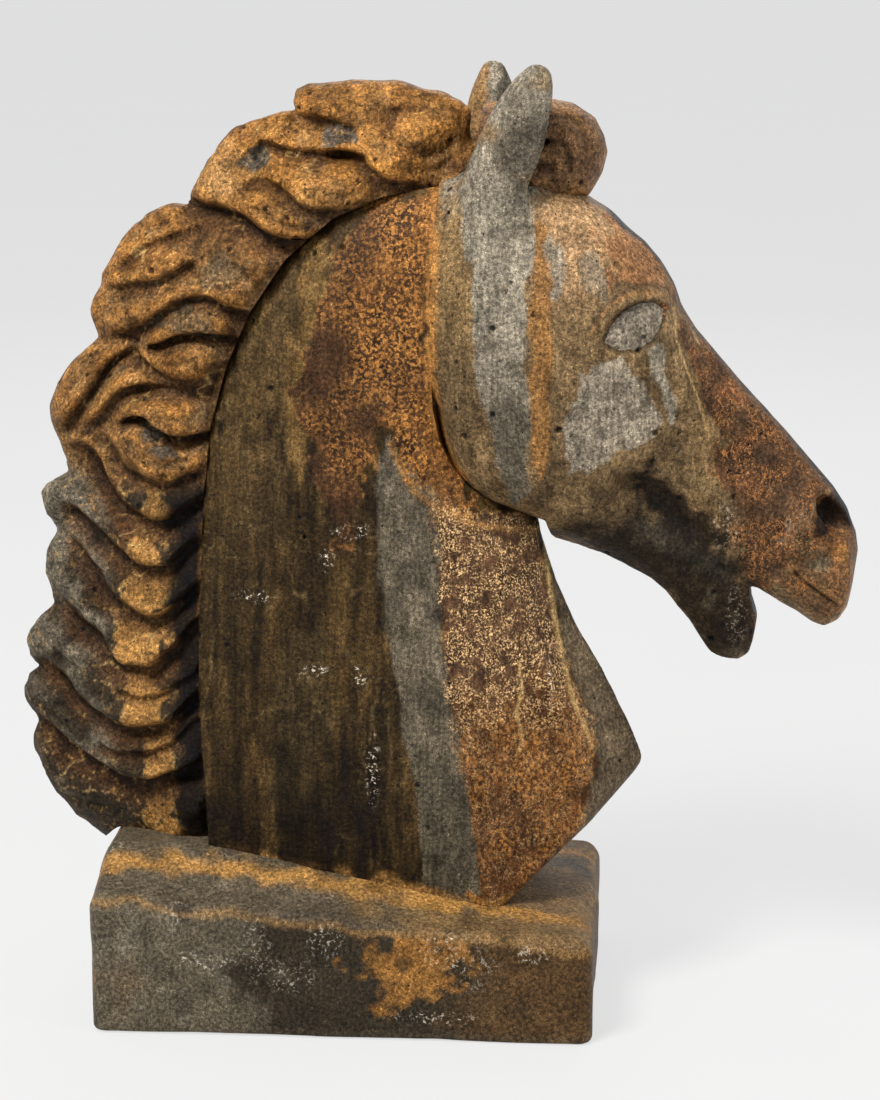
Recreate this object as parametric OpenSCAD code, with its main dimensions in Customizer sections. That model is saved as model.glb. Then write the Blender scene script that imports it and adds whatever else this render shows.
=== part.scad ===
// Giant chess knight: a horse's head and neck in cast concrete on a rectangular plinth.
// +X is the way the horse looks, +Z is up, and the origin is the centre of the plinth's underside.
// The neck, head, mane, ears, forelock and eyes are castings that meet face to face on a steel armature.

/* [Whole piece] */
// Height from the plinth's underside to the tips of the ears
piece_height = 610; // [450:10:900]

/* [Plinth] */
// Length of the plinth along X, before scaling by piece_height
plinth_length = 316; // [306:1:330]
// Width of the plinth along Y
plinth_width = 210; // [200:1:230]
// Height of the plinth's rear edge
plinth_rear_height = 92; // [86:1:96]
// Height of the plinth's front edge
plinth_front_height = 68; // [62:1:72]
// Radius on the plinth's corners and top edges
plinth_round = 12; // [8:1:16]

/* [Neck and head] */
// Half of the neck's width at its foot
neck_half_width = 62; // [58:1:66]
// Half of the head's width at the brow
brow_half_width = 62; // [58:1:66]
// Half of the muzzle's width
muzzle_half_width = 37; // [34:1:39]
// Height of the keel's tip, where the chest overhangs the plinth
keel_height = 157; // [150:1:162]

/* [Mane] */
// Half of the mane's thickness where it meets the neck
mane_half_width = 44; // [40:1:48]
// Spacing of the swags down the back of the neck
swag_pitch = 25; // [24:0.5:26]
// Thickness of one swag, as a radius
swag_radius = 15; // [13:0.5:16]

/* [Armature] */
// Diameter of the main reinforcing bars
bar_diameter = 12; // [8:1:14]
// Diameter of the stirrups, ear pins and mane pins
wire_diameter = 6; // [4:1:6]

/* [Hidden] */
design_height = 610;
k = piece_height / design_height;
RIGHT = -1;
LEFT = 1;
concrete = "#6f675a";
ochre = "#a87438";
steel = "#8a8d91";
loft_sides = 28;
tube_sides = 6;
channel_gap = 1;
bend_radius = 24;
tie_gap = 0.2;
reach = 1000;

// Head sections: [top x, top z, bottom x, bottom z, share of brow width, egg, squareness].
// egg widens the top of a section where it is above 0 and the bottom where it is below.
HEAD = [
    [52, 528, 56, 405, 0.58, 0.0, 2.2],
    [70, 540, 56, 372, 0.74, 0.0, 2.3],
    [100, 541, 68, 343, 0.87, -0.04, 2.4],
    [132, 533, 92, 328, 0.95, -0.02, 2.5],
    [162, 515, 122, 319, 0.98, 0.04, 2.5],
    [187, 493, 146, 308, 0.97, 0.1, 2.4],
    [206, 464, 168, 298, 0.84, 0.1, 2.3],
    [226, 434, 190, 288, 0.66, 0.04, 2.2],
    [248, 408, 214, 283, 0.58, -0.04, 2.2],
    [272, 378, 238, 284, 0.56, -0.1, 2.3],
    [294, 353, 258, 279, 0.58, -0.08, 2.4],
    [311, 331, 275, 268, 0.58, -0.05, 2.4],
    [321, 310, 291, 257, 0.52, 0.0, 2.3],
    [324, 291, 305, 253, 0.4, 0.0, 2.2],
    [320, 275, 314, 258, 0.16, 0.0, 2.0]
];
// Lower jaw and lip, in the same terms
JAW = [
    [205, 330, 168, 300, 0.5, 0, 2.2],
    [232, 305, 190, 280, 0.52, 0, 2.2],
    [250, 282, 208, 262, 0.48, 0, 2.3],
    [258, 262, 219, 246, 0.42, 0, 2.3],
    [260, 244, 233, 233, 0.32, 0, 2.2],
    [256, 236, 247, 230, 0.12, 0, 2.0]
];
// Folds of the face, each [x, share of the brow's half-width, z, radius]
BROW = [[156, 0.87, 446, 3], [166, 0.85, 462, 6], [184, 0.78, 468, 7], [198, 0.7, 460, 3]];
CHEEKBONE = [[176, 0.86, 424, 3], [196, 0.78, 406, 6], [222, 0.6, 384, 6], [240, 0.46, 366, 3]];
NOSTRIL_RIM = [[288, 0.42, 350, 3], [303, 0.4, 344, 6], [313, 0.38, 330, 6], [316, 0.36, 312, 3]];
// Neck sections: [crest x, crest z, throat x, throat z, share of neck width, vee].
// vee is 1 where the front is a sharp keel and 0 where the section is an ellipse.
NECK = [
    [-118, 60, 205, 30, 1.0, 1],
    [-118, 110, 197, 110, 1.0, 1],
    [-119, 157, 188, keel_height, 0.98, 1],
    [-119, 205, 167, 205, 0.95, 1],
    [-118, 255, 139, 255, 0.9, 0.9],
    [-117, 305, 122, 300, 0.84, 0.7],
    [-113, 352, 112, 332, 0.8, 0.4],
    [-102, 402, 102, 358, 0.77, 0.2],
    [-80, 448, 92, 380, 0.74, 0],
    [-50, 488, 82, 398, 0.72, 0],
    [-12, 518, 74, 412, 0.7, 0],
    [28, 536, 68, 425, 0.64, 0],
    [56, 540, 64, 440, 0.52, 0]
];
// Mane sections: [neck x, neck z, outer x, outer z, share of mane width, outer thickness]
MANE = [
    [50, 520, 62, 572, 0.75, 22],
    [12, 512, 25, 584, 0.92, 20],
    [-14, 500, -28, 574, 1, 18],
    [-44, 474, -80, 548, 1, 17],
    [-64, 444, -118, 508, 1, 16],
    [-78, 410, -152, 470, 1, 16],
    [-88, 372, -170, 424, 1, 15],
    [-92, 330, -184, 370, 1, 15],
    [-93, 285, -192, 316, 1, 14],
    [-93, 240, -204, 262, 1, 14],
    [-93, 195, -208, 208, 1, 14],
    [-93, 150, -204, 156, 1, 14],
    [-93, 118, -186, 118, 0.95, 14],
    [-93, 90, -158, 90, 0.8, 12]
];
// Locks over the crest and shoulder of the mane, each a path of [x, z, radius]
CREST_LOCKS = [
    [[62, 555, 10], [48, 574, 15], [18, 582, 15], [-12, 582, 12], [-32, 582, 6]],
    [[60, 540, 10], [34, 550, 13], [6, 562, 13], [-20, 565, 8]],
    [[-8, 566, 9], [-40, 566, 13], [-70, 550, 14], [-92, 530, 12], [-104, 512, 7]],
    [[44, 531, 9], [10, 536, 12], [-24, 546, 12], [-52, 540, 9]],
    [[8, 516, 8], [-22, 518, 11], [-56, 518, 12], [-86, 514, 8]]
];
MIDDLE_LOCKS = [
    [[-98, 508, 9], [-128, 502, 13], [-148, 482, 13], [-158, 454, 9]],
    [[-52, 484, 8], [-86, 492, 12], [-116, 480, 12], [-140, 452, 9]],
    [[-64, 462, 8], [-92, 458, 12], [-124, 446, 12], [-158, 440, 8]],
    [[-76, 430, 8], [-98, 442, 11], [-128, 436, 9], [-146, 422, 6]],
    [[-84, 408, 8], [-104, 402, 12], [-130, 408, 10], [-148, 424, 6]],
    [[-146, 428, 8], [-168, 412, 12], [-184, 392, 11], [-190, 374, 7]],
    [[-88, 384, 8], [-112, 386, 10], [-146, 400, 9], [-184, 378, 6]],
    [[-92, 350, 8], [-116, 340, 12], [-142, 356, 11], [-152, 380, 8]]
];
// The swags hang in a loop from the outer edge, under the neck's side and back up to it
swag_count = 10;
swag_top = 326;
// How far the locks stand out of the mane's body, how its side falls away per millimetre from the
// middle of its root, the least half-thickness and how deep a lock is sunk, as a share of its radius
lock_stand = 8;
mane_fall_off = 0.26;
mane_least = 12;
lock_sink = 0.55;
plinth_half = [plinth_length / 2, plinth_width / 2];
ridge = 0.66;
corner_x = 96;
corner_z = 76;
keel_x = 188;
bar_r = bar_diameter / 2;
wire_r = wire_diameter / 2;
mane_split_upper = 506;
mane_split_lower = 338;
eye_centre = [179, 449];
eye_tilt = 32;
eye_length = 38;
eye_height = 27;
eye_bulge = 10;
eye_seat_y = brow_half_width - 12;
// Corner and open end of the mouth, each [x, z, radius]
MOUTH = [[253, 282, 2.5], [300, 226, 16]];
// Hollow of a nostril, each [x, y, z, radius]
NOSTRIL = [[303, 34, 338, 4], [308, 34, 318, 9], [300, 24, 322, 5]];
// The swell on top of the plinth, each corner of one side as [x, y, z]
MOUND = [[-132, 78, 80], [132, 82, 54], [-124, 34, 96], [92, 50, 62]];
mound_round = 12;
// Ears, each a path of [x, y, z, radius] from the skull to the tip
EAR_RIGHT = [
    [88, -34, 520, 18], [95, -39, 543, 19], [103, -42, 566, 18], [111, -44, 588, 13.5],
    [118, -45, 606, 5]
];
EAR_LEFT = [
    [84, 34, 520, 17], [84, 38, 543, 18], [85, 42, 566, 17], [86, 44, 586, 12],
    [86, 45, 604, 4.5]
];
// The ear's hollow is the ear's own path, moved forwards, inwards and up, and made thinner
ear_scoop = [10, 8, 6];
ear_scoop_share = 0.72;
FORELOCKS = [
    [[62, 0, 545, 14], [92, 0, 560, 20], [122, 0, 566, 19], [145, 0, 558, 15], [152, 0, 543, 8]],
    [[72, -12, 548, 12], [104, -16, 558, 16], [130, -17, 552, 14], [144, -14, 536, 8]],
    [[72, 12, 548, 12], [104, 16, 558, 16], [130, 17, 552, 14], [144, 14, 536, 8]],
    [[88, -22, 546, 10], [112, -27, 543, 12], [130, -26, 531, 8]],
    [[88, 22, 546, 10], [112, 27, 543, 12], [130, 26, 531, 8]]
];
bar_x = 60;
REAR_BAR = [
    [-bar_x, 0, 20], [-bar_x, 0, 290], [-50, 0, 380], [-18, 0, 446], [40, 0, 480], [120, 0, 472]
];
FRONT_BAR = [
    [bar_x, 0, 20], [bar_x, 0, 290], [78, 0, 356], [110, 0, 386], [150, 0, 390], [190, 0, 370],
    [270, 0, 318]
];
STIRRUP_Z = [125, 205, 280];
plinth_bar_z = 36;
plinth_bar_end = 140;
EAR_PIN_RIGHT = [[76, -32, 500], [94, -39, 566]];
EAR_PIN_LEFT = [[80, 31, 500], [78, 41.5, 566]];
MANE_PIN_CREST = [[-28, 0, 486], [-56, 0, 540]];
MANE_PIN_MIDDLE = [[-80, 0, 398], [-134, 0, 432]];
MANE_PIN_FALL = [[-84, 0, 230], [-156, 0, 230]];

// Catmull-Rom curve through a list of vectors, at u from 0 to the number of spans
function curve_at(list, u) =
    let (
        i = min(floor(u), len(list) - 2), t = u - i,
        a = list[max(i - 1, 0)], b = list[i], c = list[i + 1], d = list[min(i + 2, len(list) - 1)]
    )
    0.5 * (2 * b + (c - a) * t + (2 * a - 5 * b + 4 * c - d) * t ^ 2 + (3 * b - a - 3 * c + d) * t ^ 3);
function curve(list, steps) =
    [for (i = [0:steps]) curve_at(list, (len(list) - 1) * i / steps)];
function signed_power(v, p) = sign(v) * abs(v) ^ p;
function unit(v) = v / norm(v);

// A closed ring of points in the plane through the section's top, its bottom and the Y direction
function head_ring(s, half_width) =
    [for (i = [0:loft_sides - 1])
        let (
            a = 360 * i / loft_sides,
            along = signed_power(cos(a), 2 / s[6]),
            across = signed_power(sin(a), 2 / s[6])
        )
        [
            (s[0] + s[2]) / 2 + (s[0] - s[2]) / 2 * along,
            half_width * s[4] * across * (1 + s[5] * along),
            (s[1] + s[3]) / 2 + (s[1] - s[3]) / 2 * along
        ]];

// Half-width of the neck at p, from 0 at the crest to 1 at the keel
function keeled(p) =
    p < ridge ? (0.7 + 0.3 * sin(90 * p / ridge)) * sqrt(1 - (1 - min(p / 0.12, 1)) ^ 2)
    : ((1 - p) / (1 - ridge)) ^ 0.85;
function rounded(p) = sqrt(max(1 - (2 * p - 1) ^ 2, 0));
function neck_half(p, vee) = vee * keeled(p) + (1 - vee) * rounded(p);
function neck_ring(s) =
    let (h = loft_sides / 2)
    [for (i = [0:loft_sides - 1])
        let (
            p = (1 - cos(180 * i / h)) / 2,
            side = i > h ? -1 : 1
        )
        [
            s[0] + (s[2] - s[0]) * p,
            side * neck_half_width * s[4] * neck_half(p, s[5]),
            s[1] + (s[3] - s[1]) * p
        ]];

// The mane's body is a wedge, wide at the neck and thin at its outer edge
function mane_ring(s) =
    [for (i = [0:loft_sides / 2 - 1])
        let (
            a = 720 * i / loft_sides,
            p = (1 - cos(a)) / 2,
            wide = (mane_half_width - lock_stand) * s[4], thin = s[5] - lock_stand / 2
        )
        [
            s[0] + (s[2] - s[0]) * p,
            signed_power(sin(a), 0.7) * (wide + (thin - wide) * p),
            s[1] + (s[3] - s[1]) * p
        ]];

function ring_faces(rings, n) = concat(
    [for (r = [0:rings - 2], i = [0:n - 1]) [r * n + i, r * n + (i + 1) % n, (r + 1) * n + i]],
    [for (r = [0:rings - 2], i = [0:n - 1])
        [r * n + (i + 1) % n, (r + 1) * n + (i + 1) % n, (r + 1) * n + i]],
    [[for (i = [n - 1:-1:0]) i]],
    [[for (i = [0:n - 1]) (rings - 1) * n + i]]
);

module loft(rings) {
    n = len(rings[0]);
    polyhedron(points = [for (ring = rings) each ring], faces = ring_faces(len(rings), n));
}

// A round tube along points of [x, y, z, radius]. Its sides stay square to the path.
module tube(path, steps, sides = tube_sides) {
    stations = curve(path, steps);
    last = len(stations) - 1;
    centres = [for (s = stations) [s[0], s[1], s[2]]];
    rings = [for (i = [0:last])
        let (
            t = unit(centres[min(i + 1, last)] - centres[max(i - 1, 0)]),
            n = unit(cross([0, 1, 0], t)),
            b = cross(n, t)
        )
        [for (j = [0:sides - 1])
            centres[i] + stations[i][3] * (n * cos(360 * j / sides) + b * sin(360 * j / sides))]];
    loft(rings);
}

// Unit vectors into and out of a bar's bend at point i, and how far from i the bend starts
function into(path, i) = unit(path[i] - path[i - 1]);
function out_of(path, i) = unit(path[i + 1] - path[i]);
function turn_angle(path, i) = acos(into(path, i) * out_of(path, i));
function setback(path, i) =
    i == 0 || i == len(path) - 1 ? 0 : bend_radius * tan(turn_angle(path, i) / 2);
function bend_normal(path, i) =
    let (u = into(path, i), v = out_of(path, i))
    unit(v - (v * u) * u);
function bend_centre(path, i) =
    path[i] - into(path, i) * setback(path, i) + bend_normal(path, i) * bend_radius;

// The same path as a chain of points, with three to a bend
function chain(path) =
    let (last = len(path) - 1)
    [for (i = [0:last])
        each i == 0 || i == last ? [path[i]]
        : [
            path[i] - into(path, i) * setback(path, i),
            bend_centre(path, i) + bend_radius * unit(path[i] - bend_centre(path, i)),
            path[i] + out_of(path, i) * setback(path, i)
        ]];

// A round bar that runs straight between the points of its path and bends round each one
module bent_bar(path, r) {
    points = chain(path);
    tube([for (p = points) [p[0], p[1], p[2], r]], len(points) - 1, 16);
}

module rod(path, r) {
    u = out_of(path, 0);
    translate(path[0]) rotate([0, acos(u[2]), atan2(u[1], u[0])])
        cylinder(h = norm(path[1] - path[0]), r = r, $fn = 32);
}

// The room a bar takes in the casting around it
module channel(path, r) {
    points = chain(path);
    for (i = [0:len(points) - 2])
        hull()
            for (end = [points[i], points[i + 1]])
                translate(end) sphere(r = r + channel_gap, $fn = 12);
}

// A flat loop of wire tied round both of the main bars
module stirrup(z, grow = 0, facets = 32) {
    turn = bar_r + wire_r + tie_gap;
    for (side = [-1, 1]) {
        translate([-bar_x, side * turn, z]) rotate([0, 90, 0])
            cylinder(h = 2 * bar_x, r = wire_r + grow, $fn = facets);
        translate([side * bar_x, 0, z]) rotate([0, 0, -side * 90])
            rotate_extrude(angle = 180, $fn = facets)
                translate([turn, 0]) circle(r = wire_r + grow, $fn = facets);
    }
}

module both_sides() {
    children();
    mirror([0, 1, 0]) children();
}

// ---- forms, before they are cut to meet each other ----

module head_form() {
    loft([for (s = curve(HEAD, 26)) head_ring(s, brow_half_width)]);
    loft([for (s = curve(JAW, 8)) head_ring(s, brow_half_width)]);
    both_sides()
        for (fold = [BROW, CHEEKBONE, NOSTRIL_RIM])
            tube([for (p = fold) [p[0], p[1] * brow_half_width, p[2], p[3]]], 7);
}

module neck_form() {
    difference() {
        loft([for (s = curve(NECK, 18)) neck_ring(s)]);
        under_chest();
    }
}

// The chest is cut off by a slope that rises from the plinth to the keel's tip
module under_chest() {
    slope = atan((keel_height - corner_z) / (keel_x - corner_x));
    translate([corner_x, -reach / 2, corner_z]) rotate([0, -slope, 0])
        translate([0, 0, -reach]) cube([reach, reach, reach]);
}

// Height of the mane's side over its mid-plane at a point of its outline
function mane_side(x, z) =
    let (nearest = min([for (s = curve(MANE, 22)) norm([x - s[0], z - s[1]])]))
    max(mane_half_width - mane_fall_off * nearest, mane_least);
function lock_path(lock) =
    [for (p = lock) [p[0], mane_side(p[0], p[1]) - lock_sink * p[2], p[1], p[2]]];
function outer_x(z) = min([for (s = curve(MANE, 44)) abs(s[3] - z) < 12 ? s[2] : 0]);
function swag_path(i) =
    let (z = swag_top - swag_pitch * i, edge = outer_x(z + 30))
    lock_path([
        [-92, z + 24, swag_radius * 0.55], [-106, z + 6, swag_radius * 0.85],
        [-126, z, swag_radius], [-152, z + 6, swag_radius],
        [(edge - 152) / 2, z + 18, swag_radius * 0.95], [edge - 2, z + 32, swag_radius * 0.7]
    ]);

module mane_form() {
    loft([for (s = curve(MANE, 22)) mane_ring(s)]);
    both_sides() {
        for (lock = concat(CREST_LOCKS, MIDDLE_LOCKS)) tube(lock_path(lock), 6);
        for (i = [0:swag_count - 1]) tube(swag_path(i), 7);
    }
}

module ear_form(path, side) {
    difference() {
        tube(path, 10, 14);
        translate([ear_scoop[0], -side * ear_scoop[1], ear_scoop[2]])
            tube([for (i = [1:len(path) - 1]) [
                path[i][0], path[i][1], path[i][2], path[i][3] * ear_scoop_share
            ]], 8, 12);
    }
}

module forelock_form() {
    for (lock = FORELOCKS) tube(lock, 8, 8);
}

module eye_form(side) {
    translate([eye_centre[0], side * eye_seat_y, eye_centre[1]])
        rotate([0, -eye_tilt, 0]) rotate([90, 0, 0])
            scale([eye_length / 2, eye_height / 2, eye_bulge]) sphere(r = 1, $fn = 24);
}

module mouth() {
    hull()
        for (p = MOUTH)
            translate([p[0], 0, p[1]]) rotate([90, 0, 0])
                cylinder(h = 2 * brow_half_width, r = p[2], center = true, $fn = 16);
}

module nostril(side) {
    hull()
        for (p = NOSTRIL)
            translate([p[0], side * p[1], p[2]]) sphere(r = p[3], $fn = 16);
}

module plinth_block() {
    half = plinth_half;
    r = plinth_round;
    intersection() {
        linear_extrude(height = plinth_rear_height + 20)
            polygon([for (c = [[1, 1], [-1, 1], [-1, -1], [1, -1]], a = [0:15:90])
                let (turn = c == [1, 1] ? 0 : c == [-1, 1] ? 90 : c == [-1, -1] ? 180 : 270)
                [c[0] * (half[0] - r) + r * cos(a + turn), c[1] * (half[1] - r) + r * sin(a + turn)]]);
        translate([0, half[1], 0]) rotate([90, 0, 0]) linear_extrude(height = plinth_width)
            polygon(concat(
                [[-half[0], 0], [half[0], 0]],
                [for (a = [0:15:90])
                    [half[0] - r + r * cos(a), plinth_front_height - r + r * sin(a)]],
                [for (a = [90:15:180])
                    [-half[0] + r + r * cos(a), plinth_rear_height - r + r * sin(a)]]
            ));
    }
}

// The top swells up from its edges to the foot of the neck
module mound() {
    hull()
        for (side = [-1, 1], p = MOUND)
            translate([p[0], side * p[1], p[2]]) sphere(r = mound_round, $fn = 24);
}

module plinth_form() {
    plinth_block();
    mound();
}

function plinth_bar_path(side) =
    let (y = side * (2 * bar_r + tie_gap))
    [[-plinth_bar_end, y, plinth_bar_z], [plinth_bar_end, y, plinth_bar_z]];

// Room for all of the steel at once
module armature() {
    channel(REAR_BAR, bar_r);
    channel(FRONT_BAR, bar_r);
    for (side = [RIGHT, LEFT]) channel(plinth_bar_path(side), bar_r);
    for (pin = [EAR_PIN_RIGHT, EAR_PIN_LEFT, MANE_PIN_CREST, MANE_PIN_MIDDLE, MANE_PIN_FALL])
        channel(pin, wire_r);
    for (z = STIRRUP_Z) stirrup(z, channel_gap, 16);
}

// ---- the castings ----

// A casting takes its colour and its final size here, and leaves room for the steel
module casting(colour) color(colour) scale(k) difference() {
    children();
    armature();
}

module plinth() casting(concrete) plinth_form();

module neck() casting(concrete) difference() {
    neck_form();
    plinth_form();
    head_form();
}

module head() casting(concrete) difference() {
    head_form();
    mouth();
    for (side = [RIGHT, LEFT]) {
        nostril(side);
        eye_form(side);
    }
}

module ear(path, side) casting(concrete) difference() {
    ear_form(path, side);
    head_form();
    neck_form();
}
module ear_right() ear(EAR_RIGHT, RIGHT);
module ear_left() ear(EAR_LEFT, LEFT);

module eye_right() color(concrete) scale(k) eye_form(RIGHT);
module eye_left() color(concrete) scale(k) eye_form(LEFT);

module both_ears() {
    ear_form(EAR_RIGHT, RIGHT);
    ear_form(EAR_LEFT, LEFT);
}

module forelock() casting(ochre) difference() {
    forelock_form();
    head_form();
    neck_form();
    both_ears();
    mane_form();
}

// The part of the mane between two heights
module mane_between(low, high) casting(ochre) intersection() {
    difference() {
        mane_form();
        neck_form();
        head_form();
        plinth_form();
        both_ears();
    }
    translate([-reach / 2, -reach / 2, low]) cube([reach, reach, high - low]);
}
module mane_crest() mane_between(mane_split_upper, reach);
module mane_middle() mane_between(mane_split_lower, mane_split_upper);
module mane_fall() mane_between(0, mane_split_lower);

// ---- the steel ----

module rear_bar() color(steel) scale(k) bent_bar(REAR_BAR, bar_r);
module front_bar() color(steel) scale(k) bent_bar(FRONT_BAR, bar_r);
module plinth_bar_right() color(steel) scale(k) rod(plinth_bar_path(RIGHT), bar_r);
module plinth_bar_left() color(steel) scale(k) rod(plinth_bar_path(LEFT), bar_r);

module stirrup_low() color(steel) scale(k) stirrup(STIRRUP_Z[0]);
module stirrup_mid() color(steel) scale(k) stirrup(STIRRUP_Z[1]);
module stirrup_high() color(steel) scale(k) stirrup(STIRRUP_Z[2]);

module ear_pin_right() color(steel) scale(k) rod(EAR_PIN_RIGHT, wire_r);
module ear_pin_left() color(steel) scale(k) rod(EAR_PIN_LEFT, wire_r);
module mane_pin_crest() color(steel) scale(k) rod(MANE_PIN_CREST, wire_r);
module mane_pin_middle() color(steel) scale(k) rod(MANE_PIN_MIDDLE, wire_r);
module mane_pin_fall() color(steel) scale(k) rod(MANE_PIN_FALL, wire_r);

plinth();
neck();
head();
ear_right();
ear_left();
eye_right();
eye_left();
forelock();
mane_crest();
mane_middle();
mane_fall();
rear_bar();
front_bar();
stirrup_low();
stirrup_mid();
stirrup_high();
plinth_bar_right();
plinth_bar_left();
ear_pin_right();
ear_pin_left();
mane_pin_crest();
mane_pin_middle();
mane_pin_fall();
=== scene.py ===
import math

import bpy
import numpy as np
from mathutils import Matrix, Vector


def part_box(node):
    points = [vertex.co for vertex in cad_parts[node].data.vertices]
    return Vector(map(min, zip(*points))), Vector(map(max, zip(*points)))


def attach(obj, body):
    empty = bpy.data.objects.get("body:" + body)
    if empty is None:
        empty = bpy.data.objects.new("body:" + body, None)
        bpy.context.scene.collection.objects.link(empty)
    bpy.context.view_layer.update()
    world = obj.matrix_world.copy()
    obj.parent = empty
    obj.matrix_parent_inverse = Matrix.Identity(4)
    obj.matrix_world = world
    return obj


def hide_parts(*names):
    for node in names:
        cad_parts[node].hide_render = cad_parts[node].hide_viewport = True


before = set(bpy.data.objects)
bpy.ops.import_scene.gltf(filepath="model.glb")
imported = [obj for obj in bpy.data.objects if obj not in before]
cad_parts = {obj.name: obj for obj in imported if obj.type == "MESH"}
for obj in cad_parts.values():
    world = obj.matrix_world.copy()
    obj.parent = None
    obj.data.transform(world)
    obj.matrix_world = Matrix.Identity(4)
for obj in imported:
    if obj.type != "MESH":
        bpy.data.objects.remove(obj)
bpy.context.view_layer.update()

# The looks of the giant chess knight: concrete castings with a weathered stain, and shade and highlights
# painted into their creases, hollows and ridges.
#
# The bust is sculpted as a half-thickness over the plane it is symmetrical about. Each casting is
# a field on a fine lattice, cut from its neighbours along the creases of the sculpture, and its
# surface becomes the casting's mesh. Lengths are design millimetres until they reach the mesh.

import openvdb
from mathutils import Vector

# ---- places and sizes, in design millimetres ----

PLINTH_LENGTH, PLINTH_WIDTH = 316.0, 210.0
REAR_HEIGHT, FRONT_HEIGHT = 92.0, 68.0
PLINTH_CORNER, PLINTH_EDGE, PLINTH_FOOT_EDGE = 10.0, 12.0, 4.0
REAR_BULGE = 3.5
# The swell of the plinth's top under the neck: x, and its height there
PLINTH_SWELL = ([-158, -90, 0, 96, 158], [17, 22, 15, 4, 1])
# Half of the gap between castings that meet, and the size of the lattice's cells
JOINT = 0.02
CELL = 1.5

plinth_low, plinth_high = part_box("plinth")
UNIT = (plinth_high.x - plinth_low.x) / PLINTH_LENGTH
ORIGIN = np.array(
    [(plinth_low.x + plinth_high.x) / 2, (plinth_low.y + plinth_high.y) / 2, plinth_low.z]
)

xs = np.arange(-240.0, 345.0, CELL)
ys = np.arange(-78.0, 78.1, CELL)
zs = np.arange(54.0, 628.0, CELL)
GX, GZ = np.meshgrid(xs, zs, indexing="ij")

# Where the mane's edge meets the neck, from the plinth up to the ear
NECK_LINE = [
    (-92, 60), (-92, 115), (-95, 166), (-97, 219), (-96, 272), (-93, 337), (-88, 382),
    (-78, 419), (-63, 453), (-40, 487), (-10, 513), (21, 527), (56, 533),
]
# The rear of the cheek and under the jaw, from the ear down and forwards to the throat
JAW_LINE = [
    (56, 534), (54, 503), (52, 466), (52, 428), (53, 397), (57, 375), (65, 358), (75, 345),
    (90, 335), (106, 329), (124, 324),
]
MANE_OUTLINE = [
    (76, 560), (74, 579), (68, 585), (55, 591), (30, 597), (-1, 597), (-26, 594), (-35, 590),
    (-37, 583), (-35, 578), (-45, 577), (-58, 573), (-74, 567), (-86, 556), (-98, 539),
    (-106, 519), (-117, 519), (-129, 514), (-142, 503), (-152, 491), (-160, 478), (-164, 466),
    (-168, 459), (-170, 451), (-168, 443), (-164, 434), (-173, 426), (-182, 417), (-191, 404),
    (-197, 389), (-197, 379), (-194, 370), (-189, 356), (-187, 345), (-194, 342), (-200, 338),
    (-205, 331), (-203, 320), (-197, 306), (-202, 293), (-204, 278), (-200, 266), (-199, 257),
    (-207, 250), (-215, 240), (-218, 231), (-215, 221), (-210, 214), (-217, 209), (-221, 200),
    (-219, 190), (-213, 182), (-211, 177), (-215, 168), (-215, 157), (-210, 145), (-201, 128),
    (-187, 111), (-172, 100), (-159, 90), (-150, 60),
]
FACE_OUTLINE = [
    (40, 556), (70, 552), (100, 549), (128, 539), (149, 526), (160, 518), (171, 507),
    (184, 497), (195, 484), (203, 471), (208, 457), (218, 441), (230, 427), (246, 409),
    (262, 392), (275, 378), (285, 366), (294, 355), (306, 341), (315, 328), (321, 313),
    (323, 302), (321, 287), (319, 275), (317, 265), (312, 257), (302, 252), (293, 256),
    (284, 263), (274, 268), (265, 274), (259, 278), (255, 279), (256, 270), (260, 258),
    (258, 245), (255, 234), (248, 229), (238, 231), (229, 236), (222, 246), (216, 255),
    (208, 265), (200, 275), (191, 283), (174, 292), (158, 299), (145, 303), (132, 306),
    (118, 308), (60, 308), (40, 340),
]
FORELOCK_OUTLINE = [
    (60, 548), (68, 572), (76, 581), (89, 584), (105, 583), (126, 586), (139, 583),
    (152, 574), (158, 562), (160, 553), (157, 540), (149, 526), (130, 520), (100, 524), (74, 530),
]
EYE_OUTLINE = [
    (160, 441), (164, 451), (171, 459), (181, 464), (190, 464), (196, 459), (195, 450),
    (189, 441), (180, 436), (169, 436),
]
# Head stations: top x, z, bottom x, z, half-width, egg (wider top), squareness
HEAD = [
    (50, 531, 54, 398, 49, 0.0, 2.7), (70, 545, 58, 366, 53, 0.0, 2.7),
    (100, 546, 68, 340, 57, 0.0, 2.6), (128, 537, 92, 324, 59, 0.0, 2.6),
    (158, 519, 122, 310, 60, 0.04, 2.5), (185, 497, 146, 300, 57, 0.08, 2.4),
    (207, 465, 168, 291, 49, 0.1, 2.3), (227, 434, 190, 281, 42, 0.06, 2.2),
    (249, 409, 214, 276, 37, 0.0, 2.2), (276, 378, 238, 276, 35, -0.06, 2.3),
    (299, 350, 258, 273, 36, -0.06, 2.4), (317, 329, 275, 264, 36, -0.04, 2.4),
    (326, 309, 291, 252, 33, 0.0, 2.3), (328, 291, 303, 247, 26, 0.0, 2.2),
    (325, 272, 313, 250, 12, 0.0, 2.0),
]
JAW = [
    (200, 340, 160, 297, 31, 0.0, 2.2), (228, 312, 188, 281, 30, 0.0, 2.2),
    (256, 290, 207, 260, 27, 0.0, 2.2), (266, 264, 219, 245, 25, 0.0, 2.2),
    (265, 245, 231, 230, 21, 0.0, 2.1), (258, 233, 246, 224, 9, 0.0, 2.0),
]
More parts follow.
